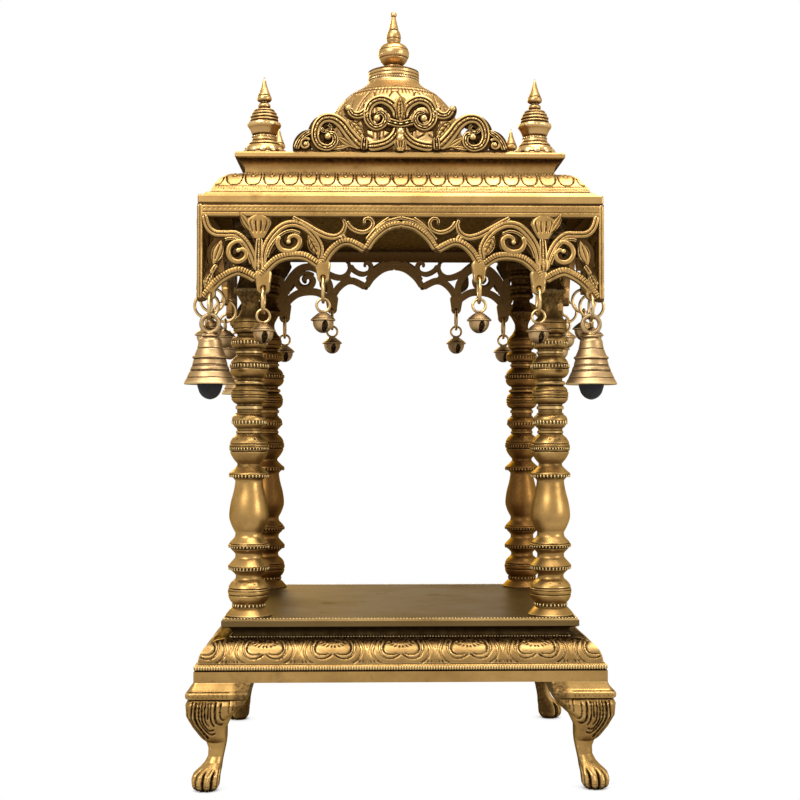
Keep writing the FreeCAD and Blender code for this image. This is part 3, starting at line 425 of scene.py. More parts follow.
class Piece:
    """A mesh in the making, in millimetres, with the shapes that the shrine's ornament is made of."""

    def __init__(self, name: str) -> None:
        """Starts an empty piece."""
        self.name = name
        self.bm = bmesh.new()
        self.grime = self.bm.verts.layers.float.new("grime")
        self.dents: list[tuple[Vector, Vector, float, float]] = []
        self.keyholes: list[tuple[Vector, Vector, float, float, float]] = []
        self.straps = 0

    def lathe(self, line: Sequence[Sequence[float]], centre: Pair = (0.0, 0.0), base: float = 0.0,
              steps: int = 64, closed: bool = True) -> None:
        """Turns an outline about a vertical axis.

        Args:
            line: (radius, height) or (radius, height, grime) points, bottom to top.
            centre: the axis in plan.
            base: the height that outline heights start from.
            steps: facets round the axis.
            closed: True if ends off the axis are closed with flat faces.
        """
        rows = [tuple(point) if len(point) == 3 else (*point, 0.0) for point in line]
        if closed and rows[0][0] > 0.01:
            rows.insert(0, (0.0, rows[0][1], 0.0))
        if closed and rows[-1][0] > 0.01:
            rows.append((0.0, rows[-1][1], 0.0))
        known = set(self.bm.verts)
        points = []
        for radius, height, grime in rows:
            point = self.bm.verts.new((max(radius, 0.0), 0.0, height))
            point[self.grime] = grime
            points.append(point)
        edges = [self.bm.edges.new(pair) for pair in zip(points, points[1:])]
        bmesh.ops.spin(self.bm, geom=points + edges, cent=(0, 0, 0), axis=(0, 0, 1), angle=math.tau,
                       steps=steps, use_merge=True)
        fresh = [point for point in self.bm.verts if point not in known]
        poles = [point for point in fresh if math.hypot(point.co.x, point.co.y) < 1e-3]
        bmesh.ops.translate(self.bm, verts=fresh, vec=(centre[0], centre[1], base))
        bmesh.ops.remove_doubles(self.bm, verts=poles, dist=1e-3)

    def grid(self, columns: int, rows: int,
             shape: Callable[[np.ndarray, np.ndarray], Relief]) -> None:
        """Adds a grid and moves its points to a shape.

        Args:
            columns: facets along it.
            rows: facets across it.
            shape: gives the places and the grime of points at (share along, share across).
        """
        made = bmesh.ops.create_grid(self.bm, x_segments=columns, y_segments=rows, size=0.5)["verts"]
        flat = np.array([point.co[:2] for point in made]) + 0.5
        places, grime = shape(flat[:, 0], flat[:, 1])
        for point, place, dark in zip(made, places.tolist(), np.asarray(grime, float).tolist()):
            point.co = place
            point[self.grime] = dark

    def torus(self, centre: Sequence[float], axis: str, radius: float, wire: float, steps: int = 48,
              sides: int = 12, grime: float = 0.0) -> None:
        """Adds a wire ring.

        Args:
            centre: its middle.
            axis: "X", "Y" or "Z", the axis that it goes round.
            radius: from its middle to the wire's middle.
            wire: the wire's radius.
            steps: facets round it.
            sides: facets round the wire.
            grime: how dark it is.
        """
        aim = {"X": Matrix.Rotation(math.radians(90.0), 4, "Y"), "Y": Matrix.Rotation(math.radians(90.0), 4, "X"),
               "Z": Matrix.Identity(4)}[axis]
        upright = Matrix.Translation((radius, 0.0, 0.0)) @ Matrix.Rotation(math.radians(90.0), 4, "X")
        known = set(self.bm.verts)
        wire_points = bmesh.ops.create_circle(self.bm, segments=sides, radius=wire, matrix=upright)["verts"]
        edges = list({edge for point in wire_points for edge in point.link_edges})
        bmesh.ops.spin(self.bm, geom=wire_points + edges, cent=(0, 0, 0), axis=(0, 0, 1), angle=math.tau,
                       steps=steps, use_merge=True)
        fresh = [point for point in self.bm.verts if point not in known]
        for point in fresh:
            point[self.grime] = grime
        bmesh.ops.transform(self.bm, verts=fresh, matrix=Matrix.Translation(centre) @ aim)

    def balls(self, places: Iterable[Sequence[float]], radius: float,
              stretch: Sequence[float] = (1.0, 1.0, 1.0), turns: Iterable[float] | None = None) -> None:
        """Adds small balls, such as beads.

        Args:
            places: their middles.
            radius: their radius.
            stretch: how much each is stretched along X, Y and Z before it is turned.
            turns: the turn of each about Z, in degrees.
        """
        places = list(places)
        angles = list(turns) if turns is not None else [0.0] * len(places)
        scale = Matrix.Diagonal((*stretch, 1.0))
        for place, angle in zip(places, angles):
            matrix = Matrix.Translation(place) @ Matrix.Rotation(math.radians(angle), 4, "Z") @ scale
            bmesh.ops.create_icosphere(self.bm, subdivisions=1, radius=radius, matrix=matrix)

    def bead_ring(self, centre: Pair, ring_radius: float, height: float, bead: float, count: int,
                  stretch: Sequence[float] = (1.0, 1.0, 1.0)) -> None:
        """Adds a ring of beads about a vertical axis.

        Args:
            centre: the axis in plan.
            ring_radius: from the axis to the beads' middles.
            height: the beads' height.
            bead: the beads' radius.
            count: how many there are.
            stretch: stretch outwards, along the ring and upwards.
        """
        angles = [360.0 * index / count for index in range(count)]
        places = [(centre[0] + ring_radius * math.cos(math.radians(angle)),
                   centre[1] + ring_radius * math.sin(math.radians(angle)), height) for angle in angles]
        self.balls(places, bead, stretch, angles)

    def dimple(self, spot: Sequence[float], centre: Pair, radius: float, depth: float) -> None:
        """Marks a round dent, pressed in towards an axis when the piece is finished.

        Args:
            spot: its middle.
            centre: the axis in plan.
            radius: its radius.
            depth: its depth.
        """
        inward = Vector((centre[0] - spot[0], centre[1] - spot[1], 0.0)).normalized()
        self.dents.append((Vector(spot), inward, radius, depth))

    def keyhole(self, spot: Sequence[float], inward: Sequence[float], half_width: float, half_height: float,
                depth: float) -> None:
        """Marks an upright almond slot, sunk and blackened as painted shade when the piece is finished."""
        self.keyholes.append((Vector(spot), Vector(inward).normalized(), half_width, half_height, depth))

    def weld(self, distance: float) -> None:
        """Joins points that lie together."""
        bmesh.ops.remove_doubles(self.bm, verts=self.bm.verts[:], dist=distance)

    def _press(self, mesh: bpy.types.Mesh, places: np.ndarray) -> np.ndarray:
        """Presses the marked dents and slots into a mesh and blackens them, the slots with painted shade.

        Args:
            mesh: the mesh.
            places: the places of its points.

        Returns:
            Their new places.
        """
        grime = np.empty(len(places))
        mesh.attributes["grime"].data.foreach_get("value", grime)
        for spot, inward, radius, depth in self.dents:
            near = np.clip(1.0 - np.linalg.norm(places - np.array(spot), axis=1) / radius, 0.0, 1.0)
            near = near * near * (3.0 - 2.0 * near)
            places = places + near[:, None] * depth * np.array(inward)
            grime = np.maximum(grime, near)
        for spot, inward, half_width, half_height, depth in self.keyholes:
            sideways = np.array(inward.cross(Vector((0.0, 0.0, 1.0))))
            gap = places - np.array(spot)
            rise = gap[:, 2] / half_height
            reach = np.clip(1.0 - rise * rise, 0.02, 1.0) ** 0.7 * half_width
            near_side = (np.abs(rise) < 1.0) & (gap @ np.array(inward) < 5.0)
            # painted shade: the sunk slot is blackened
            inside = ramp(1.12 - np.abs(gap @ sideways) / reach, 0.22) * near_side
            places = places + (inside * depth)[:, None] * np.array(inward)
            grime = np.maximum(grime, inside)
        mesh.attributes["grime"].data.foreach_set("value", grime)
        return places

    def finish(self, material: bpy.types.Material, body: str, nodes: Sequence[str] = (),
               slot: str = "polished_brass", sharp: float = 40.0) -> bpy.types.Object:
        """Makes the piece an object that rides on its body.

        Args:
            material: its material.
            body: the body that it rides on.
            nodes: the frame's nodes that it stands for.
            slot: not used.
            sharp: edges that turn by more than this many degrees are sharp.

        Returns:
            The object.
        """
        bmesh.ops.recalc_face_normals(self.bm, faces=self.bm.faces[:])
        mesh = bpy.data.meshes.new(self.name)
        self.bm.to_mesh(mesh)
        self.bm.free()
        places = np.empty(len(mesh.vertices) * 3)
        mesh.vertices.foreach_get("co", places)
        places = places.reshape(-1, 3)
        if self.dents or self.keyholes:
            places = self._press(mesh, places)
        mesh.vertices.foreach_set("co", (places * MM).ravel())
        mesh.update()
        mesh.shade_smooth()
        mesh.set_sharp_from_angle(angle=math.radians(sharp))
        mesh.materials.append(material)
        made = bpy.data.objects.new(self.name, mesh)
        bpy.context.scene.collection.objects.link(made)
        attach(made, body)
        if nodes:
            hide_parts(*nodes)
        LOG.info("%s: %d faces on %s", self.name, len(mesh.polygons), body)
        return made


def arc(start: Pair, through: Pair, end: Pair, count: int = 8) -> list[Pair]:
    """Points on the circle through three points, after the first.

    Args:
        start: where the arc starts.
        through: a point on it.
        end: where it ends.
        count: how many points.

    Returns:
        The points, the last being the end.
    """
    ax, ay = start
    bx, by = through
    cx, cy = end
    twice = 2.0 * (ax * (by - cy) + bx * (cy - ay) + cx * (ay - by))
    if abs(twice) < 1e-9:
        return [(ax + (cx - ax) * k / count, ay + (cy - ay) * k / count) for k in range(1, count + 1)]
    ux = ((ax * ax + ay * ay) * (by - cy) + (bx * bx + by * by) * (cy - ay) + (cx * cx + cy * cy) * (ay - by)) / twice
    uy = ((ax * ax + ay * ay) * (cx - bx) + (bx * bx + by * by) * (ax - cx) + (cx * cx + cy * cy) * (bx - ax)) / twice
    radius = math.hypot(ax - ux, ay - uy)
    first = math.atan2(ay - uy, ax - ux)
    turn_through = (math.atan2(by - uy, bx - ux) - first) % math.tau
    turn = (math.atan2(cy - uy, cx - ux) - first) % math.tau
    if turn_through > turn:
        turn -= math.tau
    return [(ux + radius * math.cos(first + turn * k / count), uy + radius * math.sin(first + turn * k / count))
            for k in range(1, count + 1)]


def outline(steps: Sequence[Step], count: int = 8) -> list[Pair]:
    """Points of a turned or moulded profile whose steps are points or (through, end) arcs.

    Args:
        steps: the steps.
        count: points on each arc.

    Returns:
        The points.
    """
    points = [tuple(steps[0])]
    for step in steps[1:]:
        if isinstance(step[0], tuple):
            points += arc(points[-1], step[0], step[1], count)
        elif math.dist(step, points[-1]) > 1e-6:
            points.append(tuple(step))
    return points


def box_mm(node: str) -> tuple[Vector, Vector]:
    """A node's lowest and highest corners at rest, in millimetres."""
    low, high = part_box(node)
    return Vector(low) / MM, Vector(high) / MM


def corner_signs(corner: str) -> Pair:
    """The signs of X and Y at a corner."""
    return -1.0 if "left" in corner else 1.0, -1.0 if "front" in corner else 1.0


def run_along(line: np.ndarray) -> np.ndarray:
    """The distance along a line at each of its points."""
    return np.concatenate([[0.0], np.cumsum(np.linalg.norm(np.diff(line, axis=0), axis=1))])


def even_steps(points: Sequence[Pair] | np.ndarray, count: int) -> tuple[np.ndarray, np.ndarray, np.ndarray]:
    """Places at even steps along a line.

    Args:
        points: the line's points.
        count: how many places.

    Returns:
        The distance along the line, and the two coordinates, of each place.
    """
    line = np.asarray(points, float)
    run = run_along(line)
    even = np.linspace(0.0, run[-1], count)
    return even, np.interp(even, run, line[:, 0]), np.interp(even, run, line[:, 1])


def smooth_line(points: Sequence[Pair], spacing: float = 0.7) -> np.ndarray:
    """A smooth line through points, at even steps.

    Args:
        points: (u, v) points.
        spacing: about how far apart the steps are, in millimetres.

    Returns:
        The line's points, one row each.
    """
    knots = np.asarray(points, float)
    padded = np.vstack([2 * knots[0] - knots[1], knots, 2 * knots[-1] - knots[-2]])
    dense = []
    for index in range(1, len(padded) - 2):
        before, here, after, beyond = padded[index - 1:index + 3]
        for share in np.linspace(0.0, 1.0, 16, endpoint=False):
            dense.append(0.5 * (2 * here + (after - before) * share
                                + (2 * before - 5 * here + 4 * after - beyond) * share ** 2
                                + (3 * here - before - 3 * after + beyond) * share ** 3))
    dense.append(knots[-1])
    line = np.array(dense)
    count = max(4, int(round(run_along(line)[-1] / spacing)))
    return np.column_stack(even_steps(line, count + 1)[1:])


def spiral(centre: Pair, outer: float, inner: float, start: float, sweep: float) -> list[Pair]:
    """Points on a spiral from the outer to the inner radius; angles in degrees."""
    count = max(6, int(abs(sweep) / 30))
    shares = [index / count for index in range(count + 1)]
    return [(centre[0] + (outer + share * (inner - outer)) * math.cos(math.radians(start + share * sweep)),
             centre[1] + (outer + share * (inner - outer)) * math.sin(math.radians(start + share * sweep)))
            for share in shares]


@dataclass(frozen=True)
class Stroke:
    """A cut line of a carved pattern: its points, its width and its depth in millimetres."""

    points: tuple[Pair, ...]
    width: float = 0.75
    depth: float = 0.38

    def nearness(self, across: np.ndarray, along: np.ndarray) -> np.ndarray:
        """How near each place is to the line: 1 on it, 0 from its edge on."""
        line = smooth_line(self.points, 1.2) if len(self.points) > 2 else np.asarray(self.points, float)
        best = np.full(across.shape, 1e9)
        for start, end in zip(line, line[1:]):
            step = end - start
            length = max(float(step @ step), 1e-9)
            share = np.clip(((across - start[0]) * step[0] + (along - start[1]) * step[1]) / length, 0.0, 1.0)
            gap = (across - start[0] - share * step[0]) ** 2 + (along - start[1] - share * step[1]) ** 2
            best = np.minimum(best, gap)
        reach = np.clip(1.0 - np.sqrt(best) / (0.5 * self.width + 0.25), 0.0, 1.0)
        return np.clip(reach * 2.0, 0.0, 1.0)


def cut(strokes: Sequence[Stroke], across: np.ndarray, along: np.ndarray) -> Relief:
    """Depth and grime of a pattern of strokes.

    Args:
        strokes: the pattern.
        across: first coordinate of each place.
        along: second coordinate of each place.

    Returns:
        The depth at each place and how dark its grime is.
    """
    depth = np.zeros(across.shape)
    grime = np.zeros(across.shape)
    for stroke in strokes:
        near = stroke.nearness(across, along)
        depth = np.maximum(depth, near * stroke.depth)
        grime = np.maximum(grime, near ** 1.5)
    return depth, grime


def scaled(height: float, *pairs: Pair) -> tuple[Pair, ...]:
    """Points whose second coordinate is given as a share of a height."""
    return tuple((u, v * height) for u, v in pairs)


def bell_curve(value: np.ndarray, middle: float | np.ndarray, spread: float) -> np.ndarray:
    """1 where a value is at its middle, falling to 0 on both sides."""
    return np.exp(-((value - middle) / spread) ** 2)


def ramp(value: np.ndarray, span: float) -> np.ndarray:
    """0 below 0, 1 from the span on, and even in between."""
    return np.clip(value / span, 0.0, 1.0)


# Studio


@dataclass
class Studio:
    """White sweep, soft lamps and the camera that stands where the photograph was taken."""

    distance: float = 948.2
    shift_right: float = 1.87
    height: float = 217.25
    heading: float = 0.024
    pitch: float = 0.024
    lens: float = 61.76
    floor_radius: float = 4.0
    aim: tuple[float, float, float] = (0.0, 0.0, 0.25)
    lamps: tuple = (
        ("key_lamp", (-0.75, -1.25, 1.25), 0.8, 19.0, (1.0, 0.98, 0.94)),
        ("fill_lamp", (1.25, -0.9, 0.6), 0.5, 6.0, WHITE[:3]),
        ("top_lamp", (0.15, -0.25, 1.5), 0.9, 20.0, WHITE[:3]),
        ("rear_lamp", (-0.5, 1.4, 0.9), 0.6, 14.0, WHITE[:3]),
    )

    def camera(self) -> None:
        """Places the camera."""
        data = bpy.data.cameras.new("camera")
        data.lens = self.lens
        data.sensor_width = 36.0
        data.clip_start = 0.01
        camera = bpy.data.objects.new("camera", data)
        bpy.context.scene.collection.objects.link(camera)
        east = self.shift_right * math.cos(self.heading) - self.distance * math.sin(self.heading)
        north = -self.shift_right * math.sin(self.heading) - self.distance * math.cos(self.heading)
        camera.location = Vector((east, north, self.height)) * MM
        camera.rotation_euler = (math.radians(90.0) + self.pitch, 0.0, -self.heading)
        bpy.context.scene.camera = camera

    def world(self) -> None:
        """White to the eye and in reflections, and a softer light on the object."""
        world = bpy.data.worlds.new("studio")
        world.use_nodes = True
        bpy.context.scene.world = world
        bench = NodeBench(world.node_tree)
        world.node_tree.nodes.clear()
        output = bench.node("ShaderNodeOutputWorld")
        seen = bench.fill(bench.node("ShaderNodeBackground"), {"Color": WHITE, "Strength": 1.0})
        soft = bench.fill(bench.node("ShaderNodeBackground"), {"Color": (0.95, 0.97, 1.0, 1.0), "Strength": 0.5})
        path = bench.node("ShaderNodeLightPath").outputs
        direct = bench.maths("MAXIMUM", path["Is Camera Ray"], path["Is Transmission Ray"])
        bench.blend(bench.maths("MAXIMUM", direct, path["Is Glossy Ray"]), soft, seen, output.inputs["Surface"])

    def floor(self) -> None:
        """A white floor that keeps the object's shadow."""
        sheet = bmesh.new()
        bmesh.ops.create_circle(sheet, cap_ends=True, segments=96, radius=self.floor_radius)
        mesh = bpy.data.meshes.new("floor")
        sheet.to_mesh(mesh)
        sheet.free()
        material, bench, shader = blank_material("floor_white")
        bench.fill(shader, {"Base Color": (0.92, 0.92, 0.92, 1.0), "Roughness": 0.9, "Specular IOR Level": 0.1})
        glow = bench.fill(bench.node("ShaderNodeEmission"), {"Color": WHITE, "Strength": 1.0})
        shade = bench.fill(bench.node("ShaderNodeAmbientOcclusion", samples=16), {"Distance": 0.035})
        clear = bench.remap(shade.outputs["AO"], 0.15, 0.75)
        path = bench.node("ShaderNodeLightPath").outputs
        direct = bench.maths("MAXIMUM", path["Is Camera Ray"], path["Is Glossy Ray"])
        bench.blend(bench.maths("MULTIPLY", direct, clear), shader, glow,
                    material.node_tree.nodes["Material Output"].inputs["Surface"])
        mesh.materials.append(material)
        made = bpy.data.objects.new("floor", mesh)
        bpy.context.scene.collection.objects.link(made)

    def lamp(self, name: str, place: Sequence[float], size: float, power: float, colour: Colour) -> None:
        """Adds a square soft lamp aimed at the shrine's middle.

        Args:
            name: the lamp's name.
            place: where it stands, in metres.
            size: the length of its sides, in metres.
            power: its power in watts.
            colour: the colour of its light.
        """
        data = bpy.data.lights.new(name, "AREA")
        data.size = size
        data.energy = power
        data.color = colour
        lamp = bpy.data.objects.new(name, data)
        bpy.context.scene.collection.objects.link(lamp)
        lamp.location = place
        aim = Vector(self.aim) - Vector(place)
        lamp.rotation_euler = aim.to_track_quat("-Z", "Y").to_euler()

    def build(self) -> None:
        """Builds the studio."""
        self.camera()
        self.world()
        self.floor()
        for lamp in self.lamps:
            self.lamp(*lamp)
        bpy.context.scene.view_settings.view_transform = "Standard"


# Carved bands


@dataclass
class CarvedBand:
    """A mitred band that lies over a moulding and carries a repeated cut pattern.

    The profile runs from the top down as (half width along X, height) and stands proud of the moulding.
    """

    name: str
    profile: Sequence[Step]
    front_pitch: float
    side_pitch: float
    motif: Callable[[np.ndarray, np.ndarray, float], Relief]
    proud: float = 0.5
    rows: int = 44
    spacing: float = 0.56
    tuck: float = 1.0

    def lay_out(self) -> tuple[np.ndarray, np.ndarray, np.ndarray, np.ndarray, np.ndarray]:
        """Even rows down the profile, with normals.

        Returns:
            Half widths, heights, the two parts of the outward normal, and the drop from the top,
            stretched to the length of the profile.
        """
        even, half, height = even_steps(outline(self.profile, 24), self.rows)
        slope_half, slope_height = np.gradient(half, even), np.gradient(height, even)
        size = np.hypot(slope_half, slope_height)
        drop = (height[0] - height) / (height[0] - height[-1]) * even[-1]
        return half, height, -slope_height / size, slope_half / size, drop

    def build(self, material: bpy.types.Material) -> bpy.types.Object:
        """Builds the band round all four sides.

        Args:
            material: its material.

        Returns:
            The band.
        """
        half, height, out_half, out_height, run = self.lay_out()
        piece = Piece(self.name)
        loop = self.rows + 2
        for side in Side:
            inset, set_back = (0.0, SET_BACK) if side.along_x else (SET_BACK, 0.0)
            pitch = self.front_pitch if side.along_x else self.side_pitch
            phase = 0.0 if side.along_x else 0.5 * pitch
            widest = float(half.max()) - inset
            columns = int(2 * widest / self.spacing)

            def shape(first: np.ndarray, second: np.ndarray) -> Relief:
                """Places and grime over one side of the band."""
                share = 2.0 * first - 1.0
                row = np.rint(second * loop).astype(int) % loop
                behind = row >= self.rows
                front = np.where(row == self.rows + 1, 0, np.minimum(row, self.rows - 1))
                reach = half[front] - inset
                across = share * reach
                local = np.mod(across + phase + 0.5 * pitch, pitch) - 0.5 * pitch
                depth, grime = self.motif(local, run[front], float(run[-1]))
                from_end = ramp(reach - np.abs(across), 1.2)
                lift = np.where(behind, -self.tuck, self.proud - depth * from_end)
                grime = np.where(behind, 0.0, grime * from_end)
                wide = reach + lift * out_half[front]
                x = share * wide
                y = -(half[front] - set_back + lift * out_half[front])
                z = height[front] + lift * out_height[front]
                angle = math.radians(side.value)
                turn = np.array([[math.cos(angle), -math.sin(angle)], [math.sin(angle), math.cos(angle)]])
                return np.column_stack([np.column_stack([x, y]) @ turn.T, z]), grime

            piece.grid(columns, loop, shape)
        piece.weld(0.02)
        return piece.finish(material, SHRINE)


def lotus_petals(across: np.ndarray, down: np.ndarray, height: float) -> Relief:
    """The base's petals: a wide U, a double heart line, a crown of dashes, and a dotted dart between.

    Args:
        across: distance from the petal's middle.
        down: distance from the band's top.
        height: the band's height along its surface.

    Returns:
        Depth, and how dark each place is.
    """
    half = np.abs(across)
    share = down / height
    petal_half, dart = 17.3, 17.5
    strokes = [Stroke(scaled(height, *points), width, depth) for points, width, depth in (
        (((15.4, 0.02), (17.0, 0.25), (17.3, 0.50), (15.6, 0.78), (12.4, 0.97)), 1.35, 0.5),
        (((12.4, 0.03), (13.2, 0.24), (12.7, 0.46), (10.6, 0.70), (6.9, 0.79), (3.3, 0.71), (0.9, 0.58)), 1.3, 0.5),
        (((9.6, 0.06), (10.9, 0.24), (11.0, 0.37), (9.7, 0.52), (6.5, 0.61), (2.9, 0.56)), 1.0, 0.45),
        (((18.9, 0.03), (20.0, 0.3), (20.75, 0.55)), 0.7, 0.3),
    )]
    for turn in (8, 30, 52, 74):
        angle = math.radians(turn)
        strokes.append(Stroke(((6.2 * math.sin(angle), 1.6 + 4.0 * math.cos(angle)),
                               (7.9 * math.sin(angle), 1.6 + 5.6 * math.cos(angle))), 0.7, 0.35))
    strokes.append(Stroke(((1.5, 1.2), (1.9, 2.0)), 0.7, 0.3))
    strokes.append(Stroke(((3.6, 1.6), (4.2, 2.2)), 0.6, 0.3))
    for offset in (16.6, 18.7, 20.7):
        strokes.append(Stroke(scaled(height, (offset, 0.84), (offset - 0.5, 0.95)), 0.5, 0.3))
    depth, grime = cut(strokes, half, down)
    swell = 0.16 * np.cos(ramp(half, petal_half) * math.pi)
    # darker in the sunk darts between petals and along the band's wavy top
    hollow = 0.28 * ramp(half - dart, 1.5)
    head = ramp(0.13 + 0.04 * np.cos(half * 2.1) - share, 0.07)
    grime = np.maximum(np.clip(grime + 0.45 * hollow, 0, 1), 0.85 * head)
    return np.clip(depth + hollow - swell * (1 - share) * 0.5, -0.1, 0.6), grime


def scale_petals(across: np.ndarray, down: np.ndarray, height: float) -> Relief:
    """The canopy's small petals: a round U each with a nick at its head, and a hatched foot.

    Args:
        across: distance from the petal's middle.
        down: distance from the band's top.
        height: the band's height along its surface.

    Returns:
        Depth and grime.
    """
    share = down / height
    strokes = [Stroke(scaled(height, *points), width, depth) for points, width, depth in (
        (((4.75, 0.03), (4.95, 0.22), (4.7, 0.42), (3.6, 0.60), (1.9, 0.685), (0.0, 0.70)), 1.0, 0.45),
        (((0.0, 0.27), (1.0, 0.25), (1.5, 0.14)), 0.7, 0.35),
        (((0.0, 0.02), (0.0, 0.12)), 0.8, 0.35),
        (((0.0, 0.755), (5.7, 0.755)), 0.5, 0.2),
    )]
    depth, grime = cut(strokes, np.abs(across), down)
    hatch = np.clip(np.cos(math.tau * (across + 1.2 * share) / 1.6) * 2.2 - 1.2, 0.0, 1.0)
    hatch = hatch * ramp(share - 0.79, 0.03) * ramp(0.95 - share, 0.03)
    return np.maximum(depth, 0.3 * hatch), np.maximum(grime, 0.75 * hatch)


# Base and canopy


@dataclass
class BeadRow:
    """A row of beads that runs round a moulding.

    `half` is the half width along X of the line that the beads sit on, and `stretch` is along the
    row, outwards and upwards.
    """

    name: str
    half: float
    height: float
    pitch: float
    stretch: tuple[float, float, float]
    radius: float = 0.8

    def build(self, material: bpy.types.Material) -> bpy.types.Object:
        """Builds the row.

        Args:
            material: its material.

        Returns:
            The row.
        """
        piece = Piece(self.name)
        for side in Side:
            reach, front = (self.half, self.half - SET_BACK) if side.along_x else (self.half - SET_BACK, self.half)
            count = int(2 * reach / self.pitch)
            step = 2 * reach / count
            angle = math.radians(side.value)
            along = [-reach + (index + 0.5) * step for index in range(count)]
            places = [(u * math.cos(angle) + front * math.sin(angle),
                       u * math.sin(angle) - front * math.cos(angle), self.height) for u in along]
            piece.balls(places, self.radius, self.stretch, [side.value] * count)
        return piece.finish(material, SHRINE, sharp=60.0)


@dataclass
class Base:
    """Carved petal band and bead rows over the base's moulding, and the finish of the plate."""

    neck: float = 105.8
    top: float = 89.7
    petal_foot: float = 76.8
    roll: float = 124.6

    def build(self, workshop: Workshop) -> None:
        """Builds the base's carving and beads.

        Args:
            workshop: the materials.
        """
        brass = workshop.brass(CARVED)
        rise = self.top - self.petal_foot
        profile = [(self.neck, self.top), (self.neck, self.top - 0.4),
                   ((self.roll - 4.0, self.petal_foot + 0.62 * rise), (self.roll - 1.6, self.petal_foot + 0.2))]
        CarvedBand("base_petals", profile, 41.5, 44.2, lotus_petals).build(brass)
        BeadRow("base_capsules", self.roll + 0.55, self.petal_foot - 2.1, 1.6, (0.92, 1.1, 2.3)).build(brass)
        BeadRow("base_beads", self.neck - 0.3, self.top + 1.0, 1.75, (1.0, 1.1, 1.0)).build(brass)
        _, plate = box_mm("base_plate")
        BeadRow("plate_beads", plate.x - 1.3, plate.z, 2.0, (0.9, 1.0, 0.8), 0.75).build(workshop.brass(SMOOTH))
        dress("base_moulding", workshop.brass(PLAIN))
        dress("base_plate", workshop.brass(PLATE))


@dataclass
class Canopy:
    """Carved petal band and bead row of the roof, and the finish of its plain parts."""

    rim: float = 124.5
    slab_top: float = 363.3
    neck_half: float = 97.8
    neck: float = 380.9

    def build(self, workshop: Workshop) -> None:
        """Builds the canopy's carving and beads.

        Args:
            workshop: the materials.
        """
        brass = workshop.brass(TOP_LIT)
        rise = self.neck - self.slab_top
        profile = [(self.neck_half + 0.9, self.neck - 1.0),
                   ((self.rim - 12.0, self.slab_top + 0.62 * rise), (self.rim - 7.5, self.slab_top + 3.0))]
        CarvedBand("canopy_petals", profile, 11.45, 11.3, scale_petals).build(brass)
        BeadRow("canopy_beads", self.neck_half + 0.4, self.neck - 0.1, 1.77, (1.0, 1.1, 1.0)).build(brass)
        for node in ("canopy_moulding", "canopy_slab"):
            dress(node, workshop.brass(TOP_LIT_PLAIN))


def dress(node: str, material: bpy.types.Material) -> None:
    """Gives a node of the frame its material."""
    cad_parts[node].active_material = material


# Posts


@dataclass(frozen=True)
class Ring:
    """A row of ticks round a turned piece."""

    height: float
    radius: float
    count: int
    bead: float
    stretch: tuple[float, float, float] = (0.7, 0.55, 1.8)


